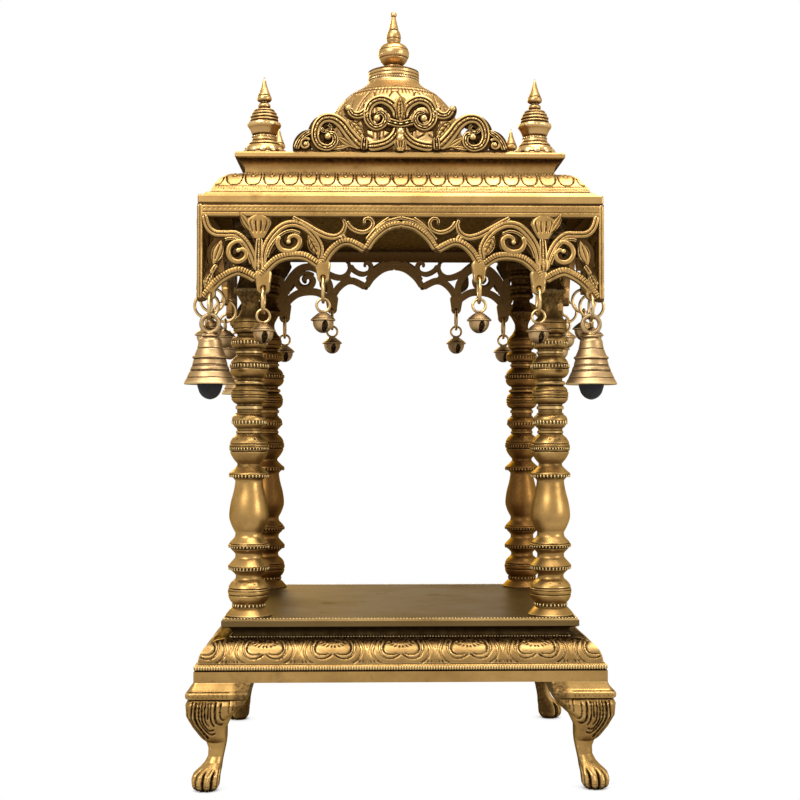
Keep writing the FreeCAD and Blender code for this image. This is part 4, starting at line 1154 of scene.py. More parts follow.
@dataclass
class Post:
    """A turned post with its knurled rings, cut lines and dimples."""

    x: float = 95.2
    y: float = 80.3
    foot: float = 102.4
    steps: int = 72
    outline: tuple[Step, ...] = (
        (0.0, 0.0), (14.2, 0.0), (14.3, 1.0), ((13.2, 2.4), (11.4, 4.4)), (10.5, 5.2),
        (9.9, 5.6), (10.1, 8.2), (10.9, 9.0),
        ((12.2, 11.0), (12.9, 13.8)), (13.1, 15.6), (12.9, 17.6), ((12.0, 19.6), (9.0, 22.8)),
        (8.2, 23.8), (8.1, 25.6),
        ((9.4, 27.2), (11.2, 28.8)), (13.0, 30.9), (13.1, 31.5), (11.4, 33.5), (9.0, 36.1),
        (8.5, 36.8), (8.4, 38.8), (9.0, 39.8),
        ((10.2, 41.0), (12.0, 42.8)), (13.0, 44.2), (12.9, 44.9), (11.4, 46.8), (9.1, 49.2),
        (8.7, 50.0), (8.4, 51.6), (8.6, 52.6),
        ((10.8, 56.8), (12.25, 61.2)), (12.4, 63.4), ((11.9, 68.5), (10.1, 76.1)), (9.2, 80.0), (8.65, 83.6),
        (8.6, 84.8), ((9.6, 86.2), (12.3, 87.6)), (12.7, 88.7), (12.2, 89.8), ((9.8, 91.8), (7.5, 94.2)),
        (7.3, 95.4), (7.8, 96.2),
        ((10.9, 100.4), (12.4, 104.4)), (12.45, 106.4), ((12.0, 108.6), (8.2, 113.6)),
        (7.7, 114.4), (8.3, 114.9), (8.3, 115.9), (7.7, 116.4), (7.7, 117.6),
        ((9.6, 119.4), (10.8, 122.2)), ((10.5, 124.6), (8.4, 126.6)),
        (8.6, 127.2), (7.6, 127.6), (7.6, 129.6), (8.6, 130.0), (8.6, 131.6), (7.7, 132.2), (7.7, 133.0),
        ((10.8, 135.4), (11.5, 138.9)), ((10.8, 142.4), (8.0, 145.0)),
        ((9.7, 146.2), (8.0, 147.6)), (7.7, 148.0), (7.8, 149.4),
        ((11.0, 151.6), (12.0, 154.2)), (12.35, 156.4), ((11.7, 159.0), (10.2, 161.6)), (7.8, 163.6),
        (7.8, 164.6), (8.6, 165.0), (8.6, 166.2), (7.8, 166.6), (7.8, 168.0),
        ((10.6, 169.0), (11.3, 171.6)), ((10.6, 174.6), (8.2, 175.4)), (7.6, 175.8), (7.6, 177.2),
        ((9.6, 178.6), (10.3, 181.8)), ((9.8, 185.6), (7.6, 188.2)), (6.4, 190.2),
        ((5.0, 193.8), (5.4, 197.4)), (7.6, 201.6), (9.9, 204.0), (10.1, 205.2), (9.2, 206.4),
        ((7.0, 210.4), (6.2, 214.6)), (7.0, 215.6), ((9.0, 217.6), (7.4, 219.8)), (7.4, 222.2),
        ((9.4, 224.2), (7.6, 226.2)), (7.8, 230.2), ((10.2, 232.2), (8.2, 234.0)), (8.2, 235.6),
        (11.2, 237.0), (11.2, 241.4), (10.8, 241.8), (10.8, 243.0), (11.2, 243.4), (11.2, 247.0),
        (10.8, 247.4), (10.8, 248.4), (11.2, 248.8), (11.2, 255.2),
    )
    grooves: tuple[tuple[float, float], ...] = (
        (13.6, 0.5), (17.6, 0.7), (29.8, 0.25), (42.4, 0.4), (45.4, 0.35), (103.4, 0.7), (108.0, 0.5), (106.5, 0.2),
        (137.1, 0.5), (138.7, 0.35), (141.2, 0.5), (155.3, 0.55), (158.6, 0.55), (180.4, 0.4), (184.4, 0.4),
        (29.6, 0.2), (16.2, 0.15),
    )
    rings: tuple[Ring, ...] = (
        Ring(6.9, 10.0, 26, 0.9, (0.8, 0.75, 1.4)), Ring(30.4, 12.5, 36, 0.8, (0.7, 0.7, 1.9)),
        Ring(43.6, 12.5, 36, 0.7, (0.7, 0.7, 1.2)), Ring(88.0, 12.2, 34, 0.8, (0.7, 0.75, 1.5)),
        Ring(105.0, 12.2, 40, 0.6, (0.6, 0.7, 1.3)), Ring(121.6, 10.7, 30, 0.8, (0.6, 0.7, 1.7)),
        Ring(157.0, 12.1, 36, 0.75, (0.7, 0.7, 1.8)), Ring(171.6, 11.1, 32, 0.8, (0.7, 0.7, 1.9)),
    )
    dimples: tuple[tuple[float, float, int], ...] = ((20.6, 11.2, 11), (111.0, 10.9, 11))

    @staticmethod
    def shade(radius: float, height: float) -> float:
        """Painted shade in the necks, and painted shadow of the valances on the upper shaft."""
        neck = 0.5 * max(0.0, min(1.0, (9.0 - radius) / 1.4)) * (height < 215.0)
        return max(neck, 0.66 * max(0.0, min(1.0, (height - 160.0) / 38.0)))

    def build(self, corner: str, material: bpy.types.Material) -> bpy.types.Object:
        """Builds the post of a corner.

        Args:
            corner: the corner's name.
            material: its material.

        Returns:
            The post.
        """
        across, along = corner_signs(corner)
        place = (across * self.x, along * self.y)
        piece = Piece(f"{corner}_turned_post")
        # painted shade: dark bands behind the bead rings
        behind = [(ring.height + side * ring.bead * ring.stretch[2] * 0.55, 0.12)
                  for ring in self.rings for side in (-1, 0, 1)]
        line = [(radius, height, max(grime, self.shade(radius, height)))
                for radius, height, grime in engraved(outline(self.outline, 7), (*self.grooves, *behind))]
        piece.lathe(line, place, self.foot, self.steps)
        for ring in self.rings:
            piece.bead_ring(place, ring.radius, self.foot + ring.height, ring.bead, ring.count, ring.stretch)
        for height, radius, count in self.dimples:
            for index in range(count):
                angle = math.tau * index / count
                spot = (place[0] + radius * math.cos(angle), place[1] + radius * math.sin(angle), self.foot + height)
                piece.dimple(spot, place, 1.1, 0.55)
        return piece.finish(material, SHRINE, [f"{corner}_post"])


def engraved(points: Sequence[Pair], grooves: Sequence[tuple[float, float]], width: float = 0.55,
             fine: float = 0.3) -> list[tuple[float, float, float]]:
    """An outline with cut lines in it.

    Args:
        points: the (radius, height) outline.
        grooves: (height, depth) of each cut line.
        width: half width of a cut line.
        fine: spacing of the points near a cut line.

    Returns:
        (radius, height, grime) points.
    """
    line = np.asarray(points, float)
    run = run_along(line)
    marks = list(run)
    for height, _ in grooves:
        near = np.interp(height, np.maximum.accumulate(line[:, 1]), run)
        marks += [near + step * fine for step in range(-4, 5)]
    marks = np.unique(np.round(np.clip(marks, 0.0, run[-1]), 3))
    radius, height = np.interp(marks, run, line[:, 0]), np.interp(marks, run, line[:, 1])
    grime = np.zeros(len(marks))
    for level, depth in grooves:
        near = bell_curve(height, level, 0.6 * width)
        radius = radius - depth * near * (radius > 2.0)
        grime = np.maximum(grime, near)
    return list(zip(radius.tolist(), height.tolist(), grime.tolist()))


# Straps and leaves of the openwork


class StrapStyle(Enum):
    """How the top of a strap is cut."""

    PLAIN = "plain"
    RIM_AND_TICKS = "rim_and_ticks"
    DOUBLE = "double"
    TRIPLE = "triple"
    RAIL = "rail"
    SHIELD = "shield"


def round_top(across: np.ndarray) -> np.ndarray:
    """A half circle's height from edge to edge of a section, whose edges are at -1 and 1."""
    return np.sqrt(np.clip(1.0 - across ** 2, 0.0, 1.0))


def section_rows(second: np.ndarray, rows: int) -> np.ndarray:
    """-1 to 1 across the top of a closed section, whose last row is joined to its first."""
    return 2.0 * (np.rint(second * (rows + 1)).astype(int) % (rows + 1)) / rows - 1.0


def strap_section(style: StrapStyle, across: np.ndarray, run: np.ndarray) -> Relief:
    """Height share and grime over the top of a strap.

    Args:
        style: how it is cut.
        across: -1 to 1 from its right edge to its left.
        run: distance along it.

    Returns:
        The height as a share of the crown, and the grime.
    """
    crown = 0.30 + 0.70 * round_top(across)

    def grooves(*cuts: tuple[float, float, float]) -> np.ndarray:
        """Cuts along the strap, each a middle, a spread and a strength."""
        return np.maximum.reduce([strength * bell_curve(across, middle, spread)
                                  for middle, spread, strength in cuts])

    def ticks(low: float, high: float, pitch: float) -> np.ndarray:
        """Cuts across part of the strap."""
        inside = ramp(across - low, 0.12) * ramp(high - across, 0.12)
        return inside * np.clip(np.cos(math.tau * run / pitch) * 1.6 - 0.5, 0.0, 1.0)

    if style is StrapStyle.RIM_AND_TICKS:
        lines, marks = grooves((-0.34, 0.12, 1.0), (0.88, 0.12, 1.0)), ticks(-0.24, 0.80, 1.7)
        return crown - 0.42 * lines - 0.25 * marks, np.clip(lines + 0.85 * marks, 0, 1)
    if style is StrapStyle.DOUBLE:
        lines, marks = grooves((0.0, 0.16, 1.0), (0.9, 0.1, 0.8), (-0.9, 0.1, 0.8)), ticks(0.15, 0.8, 1.6)
        return crown - 0.45 * lines - 0.12 * marks, np.clip(lines + 0.35 * marks, 0, 1)
    if style is StrapStyle.TRIPLE:
        lines, marks = grooves((0.32, 0.13, 1.0), (-0.32, 0.13, 1.0)), ticks(-0.25, 0.25, 1.3)
        return crown - 0.50 * lines - 0.22 * marks, np.clip(lines + 0.45 * marks, 0, 1)
    if style is StrapStyle.RAIL:
        lines = grooves((-0.25, 0.06, 1.0), (0.90, 0.07, 1.0), (-0.92, 0.05, 0.7))
        dots = bell_curve(across, 0.35, 0.12) * np.clip(np.cos(math.tau * run / 3.1) * 2.2 - 1.2, 0.0, 1.0)
        edge = ramp(1.0 - np.abs(across), 0.06)
        return 0.8 * edge - 0.7 * lines - 0.5 * dots, np.clip(lines + 0.9 * dots, 0, 1)
    if style is StrapStyle.SHIELD:
        return crown, np.zeros(across.shape)
    lines = grooves((0.82, 0.12, 0.7), (-0.82, 0.12, 0.7))
    return crown - 0.3 * lines, lines


@dataclass
class Panel:
    """A flat openwork plate that carries relief on its outer face.

    Drawings use u along the plate and v up it. `turn` brings the front's plate to its own side, and
    `depth` is how deep the undersides of the relief are let in.
    """

    turn: float
    outer: float
    base: float
    stretch: float = 1.0
    mirror: bool = False
    depth: float = 3.06

    def place(self, u: np.ndarray, v: np.ndarray, lift: np.ndarray) -> np.ndarray:
        """Places in space of points drawn on the plate.

        Args:
            u: along the plate.
            v: up the plate, from its base height.
            lift: out of the plate.

        Returns:
            One row for each point.
        """
        x = u * self.stretch * (-1.0 if self.mirror else 1.0)
        y = -(self.outer + lift)
        angle = math.radians(self.turn)
        return np.column_stack([x * math.cos(angle) - y * math.sin(angle),
                                x * math.sin(angle) + y * math.cos(angle), self.base + v])

    def flipped(self) -> "Panel":
        """The same plate with its drawings mirrored."""
        return replace(self, mirror=not self.mirror)


def strap(piece: Piece, panel: Panel, points: Sequence[Pair], start: float, end: float,
          style: StrapStyle = StrapStyle.DOUBLE, crown: float = 1.3, rows: int = 14, spacing: float = 0.55,
          bulge: float = 0.0) -> None:
    """Adds a strap along a line.

    Args:
        piece: the piece that it goes into.
        panel: the plate that it lies on.
        points: the line.
        start: its width where it starts.
        end: its width where it ends.
        style: how its top is cut.
        crown: its height.
        rows: facets across.
        spacing: facet length along.
        bulge: how much wider its middle is.
    """
    line = smooth_line(points, spacing)
    piece.straps += 1  # each strap's underside has a level of its own, so that none lie in one plane
    underside = panel.depth + 0.02 * (piece.straps % 23)
    run = run_along(line)
    direction = np.gradient(line, run, axis=0)
    direction /= np.linalg.norm(direction, axis=1)[:, None]
    normal = np.column_stack([-direction[:, 1], direction[:, 0]])
    share = run / run[-1]
    width = start + share * (end - start) + bulge * np.sin(math.pi * share)
    rounding = np.minimum(run, run[-1] - run) / (0.42 * width)
    narrow = round_top(1.0 - np.clip(rounding, 0.0, 1.0))
    loop = rows + 3

    def shape(first: np.ndarray, second: np.ndarray) -> Relief:
        """Places and grime over the strap."""
        along = np.rint(first * (len(line) - 1)).astype(int)
        row = np.rint(second * loop).astype(int) % loop
        under = row >= rows + 1
        across = np.where(row == rows + 2, -1.0, 2.0 * np.minimum(row, rows) / rows - 1.0)
        height, grime = strap_section(style, across, run[along])
        half = 0.5 * width[along] * narrow[along]
        lift = np.maximum(height * crown * (0.35 + 0.65 * narrow[along]), 0.05)
        lift = np.where(under, -underside, np.where(np.abs(across) > 0.999, -0.2, lift))
        spot = line[along] + normal[along] * (across * half)[:, None]
        return panel.place(spot[:, 0], spot[:, 1], lift), np.where(under, 0.0, grime * (narrow[along] > 0.3))

    piece.grid(len(line) - 1, loop, shape)


def leaf(piece: Piece, panel: Panel, centre: Pair, half_length: float, half_width: float, tilt: float,
         crown: float = 1.6, veins: int = 0) -> None:
    """Adds a pointed leaf with a cut border and a vein.

    Args:
        piece: the piece that it goes into.
        panel: the plate that it lies on.
        centre: its middle.
        half_length: half its length.
        half_width: half its width.
        tilt: its turn in degrees.
        crown: its height.
        veins: side veins on each side.
    """
    columns, rows = max(12, int(2 * half_length / 0.5)), 12
    along_x, along_y = math.cos(math.radians(tilt)), math.sin(math.radians(tilt))

    def shape(first: np.ndarray, second: np.ndarray) -> Relief:
        """Places and grime over the leaf."""
        along = 2.0 * first - 1.0
        across = section_rows(second, rows)
        width = half_width * np.clip(1.0 - np.abs(along) ** 1.8, 0.0, 1.0)
        border = bell_curve(np.abs(across), 0.66, 0.13) * (np.abs(along) < 0.8)
        vein = bell_curve(across, 0.0, 0.13) * (np.abs(along) < 0.62)
        if veins:
            comb = np.clip(np.cos(math.pi * veins * (along + 0.45 * np.abs(across))) * 2 - 1, 0, 1)
            vein = np.maximum(vein, comb * (np.abs(across) < 0.6) * (np.abs(along) < 0.75))
        lines = np.maximum(border, vein)
        height = crown * (0.35 + 0.65 * round_top(across)) - 0.45 * lines
        height = np.where(np.abs(across) > 0.999, -0.3, height)
        u = centre[0] + along * half_length * along_x - across * width * along_y
        v = centre[1] + along * half_length * along_y + across * width * along_x
        return panel.place(u, v, height), lines

    piece.grid(columns, rows + 1, shape)


def fan(piece: Piece, panel: Panel, foot: Pair, top: float, spread: float, foot_width: float, rays: int = 5,
        crown: float = 1.5) -> None:
    """Adds a palmette: a shield that opens upwards with a point, cut with rays.

    Args:
        piece: the piece that it goes into.
        panel: the plate that it lies on.
        foot: the middle of its foot.
        top: its height.
        spread: half its greatest width.
        foot_width: half its foot's width.
        rays: cuts.
        crown: its relief.
    """
    columns, rows, shoulder = 30, 26, 0.62

    def shape(up: np.ndarray, second: np.ndarray) -> Relief:
        """Places and grime over the palmette."""
        across = section_rows(second, rows)
        width = foot_width + (spread - foot_width) * ramp(up, shoulder) ** 0.8
        width = width * np.where(up > shoulder, round_top((up - shoulder) / 0.40), 1.0)
        comb = np.clip(np.cos(math.pi * rays * across) * -1.6 - 0.5, 0.0, 1.0)
        comb = comb * ramp(up - 0.22, 0.1) * ramp(0.82 - up, 0.1)
        lines = np.maximum(comb, 0.6 * bell_curve(np.abs(across), 0.86, 0.08))
        height = crown * (0.5 + 0.5 * round_top(across)) - 0.55 * lines
        height = np.where(np.abs(across) > 0.999, -0.3, height)
        return panel.place(foot[0] + across * width, foot[1] + up * top, height), lines

    piece.grid(columns, rows + 1, shape)


def knob(piece: Piece, panel: Panel, centre: Pair, radius: float, lift: float, flatten: float = 0.8,
         grime: float = 0.0) -> None:
    """Adds a round boss, such as a volute's eye.

    Args:
        piece: the piece that it goes into.
        panel: the plate that it lies on.
        centre: its middle.
        radius: its radius.
        lift: how far its middle stands out of the plate.
        flatten: its depth as a share of its radius.
        grime: how dark it is.
    """
    spot = panel.place(np.array([centre[0]]), np.array([centre[1]]), np.array([lift]))[0]
    matrix = Matrix.Translation(spot) @ Matrix.Rotation(math.radians(panel.turn), 4, "Z") @ Matrix.Diagonal(
        (1.0, flatten, 1.0, 1.0))
    made = bmesh.ops.create_uvsphere(piece.bm, u_segments=14, v_segments=8, radius=radius, matrix=matrix)["verts"]
    for point in made:
        point[piece.grime] = grime


# Valances


@dataclass
class Valance:
    """Relief of one pierced and scalloped valance; the plate itself comes from the frame."""

    node: str
    turn: float
    outer: float
    stretch: float
    ceiling: float = 357.6
    scallops: tuple = (
        (((-120.6, -58.0), (-116.8, -52.6), (-110.3, -46.1), (-101.0, -41.4), (-94.5, -42.8), (-88.0, -46.4)), 6.2),
        (((-86.4, -45.8), (-81.4, -38.6), (-74.9, -33.5), (-66.5, -31.6), (-58.1, -32.5), (-49.8, -37.6)), 5.6),
        (((-48.6, -37.4), (-43.7, -29.3), (-37.6, -24.1), (-32.0, -23.2), (-26.4, -25.5), (-21.8, -28.2)), 5.2),
        (((-21.8, -27.8), (-17.1, -20.9), (-10.6, -15.3), (-5.0, -12.9), (0.4, -12.3)), 4.8),
    )
    scrolls: tuple = (
        (((-120.4, -7.0), (-118.2, -14.3), (-114.0, -18.3), (-107.5, -18.9), (-101.0, -19.2),
          (-95.4, -23.7), (-91.2, -31.1), (-88.2, -40.5)), 4.4, 5.2, 0.4),
        (((-108.0, -22.4), (-104.1, -21.8), (-99.7, -22.8), (-96.3, -26.2), (-93.6, -31.6), (-91.2, -37.4)),
         2.6, 3.0, 0.0),
        (((-84.9, -38.6), (-83.3, -28.4), (-79.6, -20.9), (-73.0, -14.3), (-65.6, -12.5),
          (-58.1, -15.3), (-52.5, -20.9), (-49.3, -27.4), (-50.0, -34.4)), 5.2, 4.4, 0.6),
        (((-82.4, -33.6), (-80.1, -27.4), (-76.2, -21.9), (-71.3, -18.0), (-66.5, -17.0), (-61.6, -18.6)),
         3.0, 2.4, 0.0),
        (((-66.6, -8.4), (-58.7, -13.2), (-51.8, -17.4), (-46.0, -20.0), (-40.6, -20.6), (-36.2, -18.0),
          (-34.4, -13.6), (-35.4, -9.6)), 3.0, 2.4, 2.2),
        (((-33.7, -11.0), (-31.0, -14.8), (-26.9, -17.2), (-22.5, -17.6), (-18.6, -15.4), (-17.4, -11.8),
          (-19.4, -9.2), (-22.4, -9.8), (-22.6, -12.6)), 3.6, 2.2, 0.4),
        (((-21.4, -22.6), (-17.4, -17.6), (-13.0, -13.0), (-7.2, -8.6)), 3.0, 2.6, 0.4),
        (((-15.4, -16.0), (-9.0, -11.4), (0.4, -8.6)), 2.8, 2.6, 0.3),
        (((-36.6, -19.0), (-34.0, -23.4)), 4.4, 4.4, 0.0),
        (((-112.6, -37.6), (-114.6, -40.6), (-116.2, -43.4)), 3.4, 3.4, 0.0),
    )
    volutes: tuple = (
        (((-96.6, -23.6), (-101.0, -23.6), (-104.6, -26.2), (-105.6, -30.6), (-103.4, -34.6), (-99.6, -35.9),
          (-95.9, -34.2), (-94.6, -30.6), (-96.9, -28.4), (-99.6, -29.0)), 3.2, 3.0, 0.7),
        (((-74.4, -20.0), (-75.6, -24.4), (-72.9, -28.6), (-67.6, -29.4), (-63.2, -26.6), (-62.1, -22.3),
          (-65.0, -19.9), (-68.3, -20.9), (-68.9, -23.6)), 3.4, 3.0, 0.7),
    )
    leaves: tuple = (
        ((-112.2, -30.2), 8.0, 4.1, 72.0, 0),
        ((-117.4, -46.8), 6.2, 2.9, 64.0, 6),
        ((-53.6, -26.2), 7.6, 3.9, 118.0, 5),
        ((-94.8, -12.0), 7.6, 3.0, 121.0, 0),
    )
    eyes: tuple = ((-84.3, -51.6, 4.0), (-47.8, -45.0, 3.7), (-116.7, -55.6, 3.3))

    def build(self, material: bpy.types.Material) -> bpy.types.Object:
        """Builds the relief.

        Args:
            material: its material.

        Returns:
            The relief.
        """
        piece = Piece(f"{self.node}_relief")
        left = Panel(self.turn, self.outer, self.ceiling, self.stretch)
        for panel in (left, left.flipped()):
            for line, wide in self.scallops:
                strap(piece, panel, line, wide, wide, StrapStyle.RIM_AND_TICKS, 1.35, 16)
            for line, start, end, bulge in self.scrolls:
                strap(piece, panel, line, start, end, StrapStyle.DOUBLE, 1.3, bulge=bulge)
            for line, start, end, bulge in self.volutes:
                strap(piece, panel, line, start, end, StrapStyle.PLAIN, 1.5, 10, bulge=bulge)
                knob(piece, panel, line[-1], 1.6, 0.5)
            for centre, length, width, tilt, veins in self.leaves:
                leaf(piece, panel, centre, length, width, tilt, 1.4, veins)
            strap(piece, panel, [(-86.6, -20.8), (-87.0, -29.1), (-87.2, -42.0)], 4.2, 6.6, StrapStyle.TRIPLE,
                  1.6, 16)
            fan(piece, panel, (-87.3, -21.6), 14.4, 8.3, 3.0)
            for u, v, radius in self.eyes:
                if radius > 3.5 or self.stretch == 1.0:
                    self.lug(piece, panel, u, v, radius)
            strap(piece, panel, [(-122.9, -58.4), (-122.9, -30.0), (-122.9, -0.4)], 3.4, 3.4, StrapStyle.DOUBLE,
                  0.8, 12)
        strap(piece, left, [(-123.6, -4.4), (-60.0, -4.4), (0.0, -4.4), (60.0, -4.4), (123.6, -4.4)], 7.6, 7.6,
              StrapStyle.RAIL, 0.6, 24)
        piece.weld(0.01)
        return piece.finish(material, SHRINE)

    @staticmethod
    def lug(piece: Piece, panel: Panel, u: float, v: float, radius: float) -> None:
        """Adds the raised rim round an eye, the shoulders that it hangs by, and a flat dark disc in the eye as painted
        shade.

        Args:
            piece: the piece that it goes into.
            panel: the plate that it lies on.
            u: the eye's place along the plate.
            v: its height.
            radius: its radius.
        """
        rim = [(u + (radius - 0.9) * math.sin(math.radians(a)), v - (radius - 0.9) * math.cos(math.radians(a)))
               for a in range(-150, 151, 25)]
        strap(piece, panel, rim, 1.9, 1.9, StrapStyle.PLAIN, 0.8, 6)
        top = v + 3.1 * radius
        strap(piece, panel, [(u - 0.4, top), (u - 0.2, 0.5 * (top + v)), (u, v - 0.75 * radius)], 3.0 * radius,
              1.75 * radius, StrapStyle.SHIELD, 1.0, 12)
        # painted shade: a flat dark disc in the eye
        knob(piece, panel, (u, v - 0.1), 0.46 * radius, 1.0, 0.2, 1.0)


@dataclass
class Crest:
    """Relief of the scroll crest over the front of the cornice."""

    outer: float = 87.9
    scrolls: tuple = (
        (((-65.7, 1.3), (-63.9, 6.0), (-60.4, 10.2), (-55.7, 13.1)), 4.4, 3.8),
        (((-23.5, 3.1), (-27.6, 6.4), (-32.3, 11.8), (-36.9, 17.7), (-42.6, 21.2), (-48.7, 20.7), (-52.6, 16.2),
          (-53.6, 9.5), (-50.8, 4.0), (-45.2, 2.6), (-41.2, 5.8), (-41.6, 10.4), (-45.4, 11.6)), 8.2, 4.2),
        (((-50.6, 15.4), (-48.2, 13.0), (-45.0, 13.2), (-43.8, 15.6), (-45.6, 17.4)), 3.4, 2.4),
        (((-2.6, 20.6), (-1.9, 25.0), (-5.3, 30.2), (-11.8, 33.2), (-18.0, 31.0), (-20.9, 25.4),
          (-20.2, 19.4), (-15.9, 15.6), (-11.0, 17.2), (-9.2, 21.6), (-12.0, 25.0), (-15.6, 23.6)), 7.2, 4.0),
        (((-20.4, 26.6), (-25.0, 23.4), (-29.5, 23.6), (-32.6, 27.6)), 6.4, 4.4),
        (((-1.6, 16.6), (-2.8, 11.4), (-7.6, 6.4), (-14.2, 4.0), (-20.8, 3.4)), 6.4, 7.0),
    )
    eyes: tuple = (((-45.6, 9.6), 2.2), ((-14.8, 21.2), 2.3), ((-32.8, 27.6), 2.0), ((-59.6, 4.8), 1.5))
    leaves: tuple = (
        ((-27.4, 14.2), 7.8, 3.9, 128.0, 0.9, 5),
        ((-34.6, 6.2), 7.2, 3.0, -32.0, 1.1, 0),
        ((-38.6, 2.6), 7.0, 2.2, 8.0, 1.0, 0),
    )
    # painted shade: near-black discs sunk inside the scroll eyes
    shade_discs: tuple = (((-46.4, 9.4), 6.8), ((-59.4, 4.9), 4.4))

    def build(self, material: bpy.types.Material) -> bpy.types.Object:
        """Builds the relief.

        Args:
            material: its material.

        Returns:
            The relief.
        """
        piece = Piece("front_crest_relief")
        left = Panel(0.0, self.outer, ROOF_FOOT)
        for panel in (left, left.flipped()):
            for line, start, end in self.scrolls:
                strap(piece, panel, line, start, end, StrapStyle.TRIPLE, 2.2, 16)
            strap(piece, panel, [(-22.2, 9.6), (-22.8, 5.0), (-23.0, 0.8)], 5.0, 5.4, StrapStyle.TRIPLE, 3.4, 16)
            strap(piece, panel, spiral((-59.6, 4.8), 3.8, 1.2, 40.0, 400.0), 2.6, 2.2, StrapStyle.PLAIN, 1.6, 8)
            for centre, radius in self.eyes:
                knob(piece, panel, centre, radius, 1.4)
            for leaf_sizes in self.leaves:
                leaf(piece, panel, *leaf_sizes)
            # painted shade in the scroll eyes
            for centre, radius in self.shade_discs:
                knob(piece, panel, centre, radius, -1.4, 0.18, 0.9)
        strap(piece, left, [(-8.6, 19.4), (0.0, 17.4), (8.6, 19.4)], 5.4, 5.4, StrapStyle.TRIPLE, 3.6, 16)
        fan(piece, left, (0.0, 19.0), 16.2, 5.0, 1.6, 3, 2.0)
        leaf(piece, left, (0.0, 26.4), 8.6, 3.4, 90.0, 3.2, 9)
        for height, radius in ((12.6, 3.0), (10.4, 2.5), (8.6, 3.0)):
            knob(piece, left, (0.0, height), radius, 1.2, 1.0)
        fan(piece, left, (0.0, 0.4), 7.8, 4.3, 1.9, 5, 3.0)
        piece.weld(0.01)
        return piece.finish(material, SHRINE)


# Roof


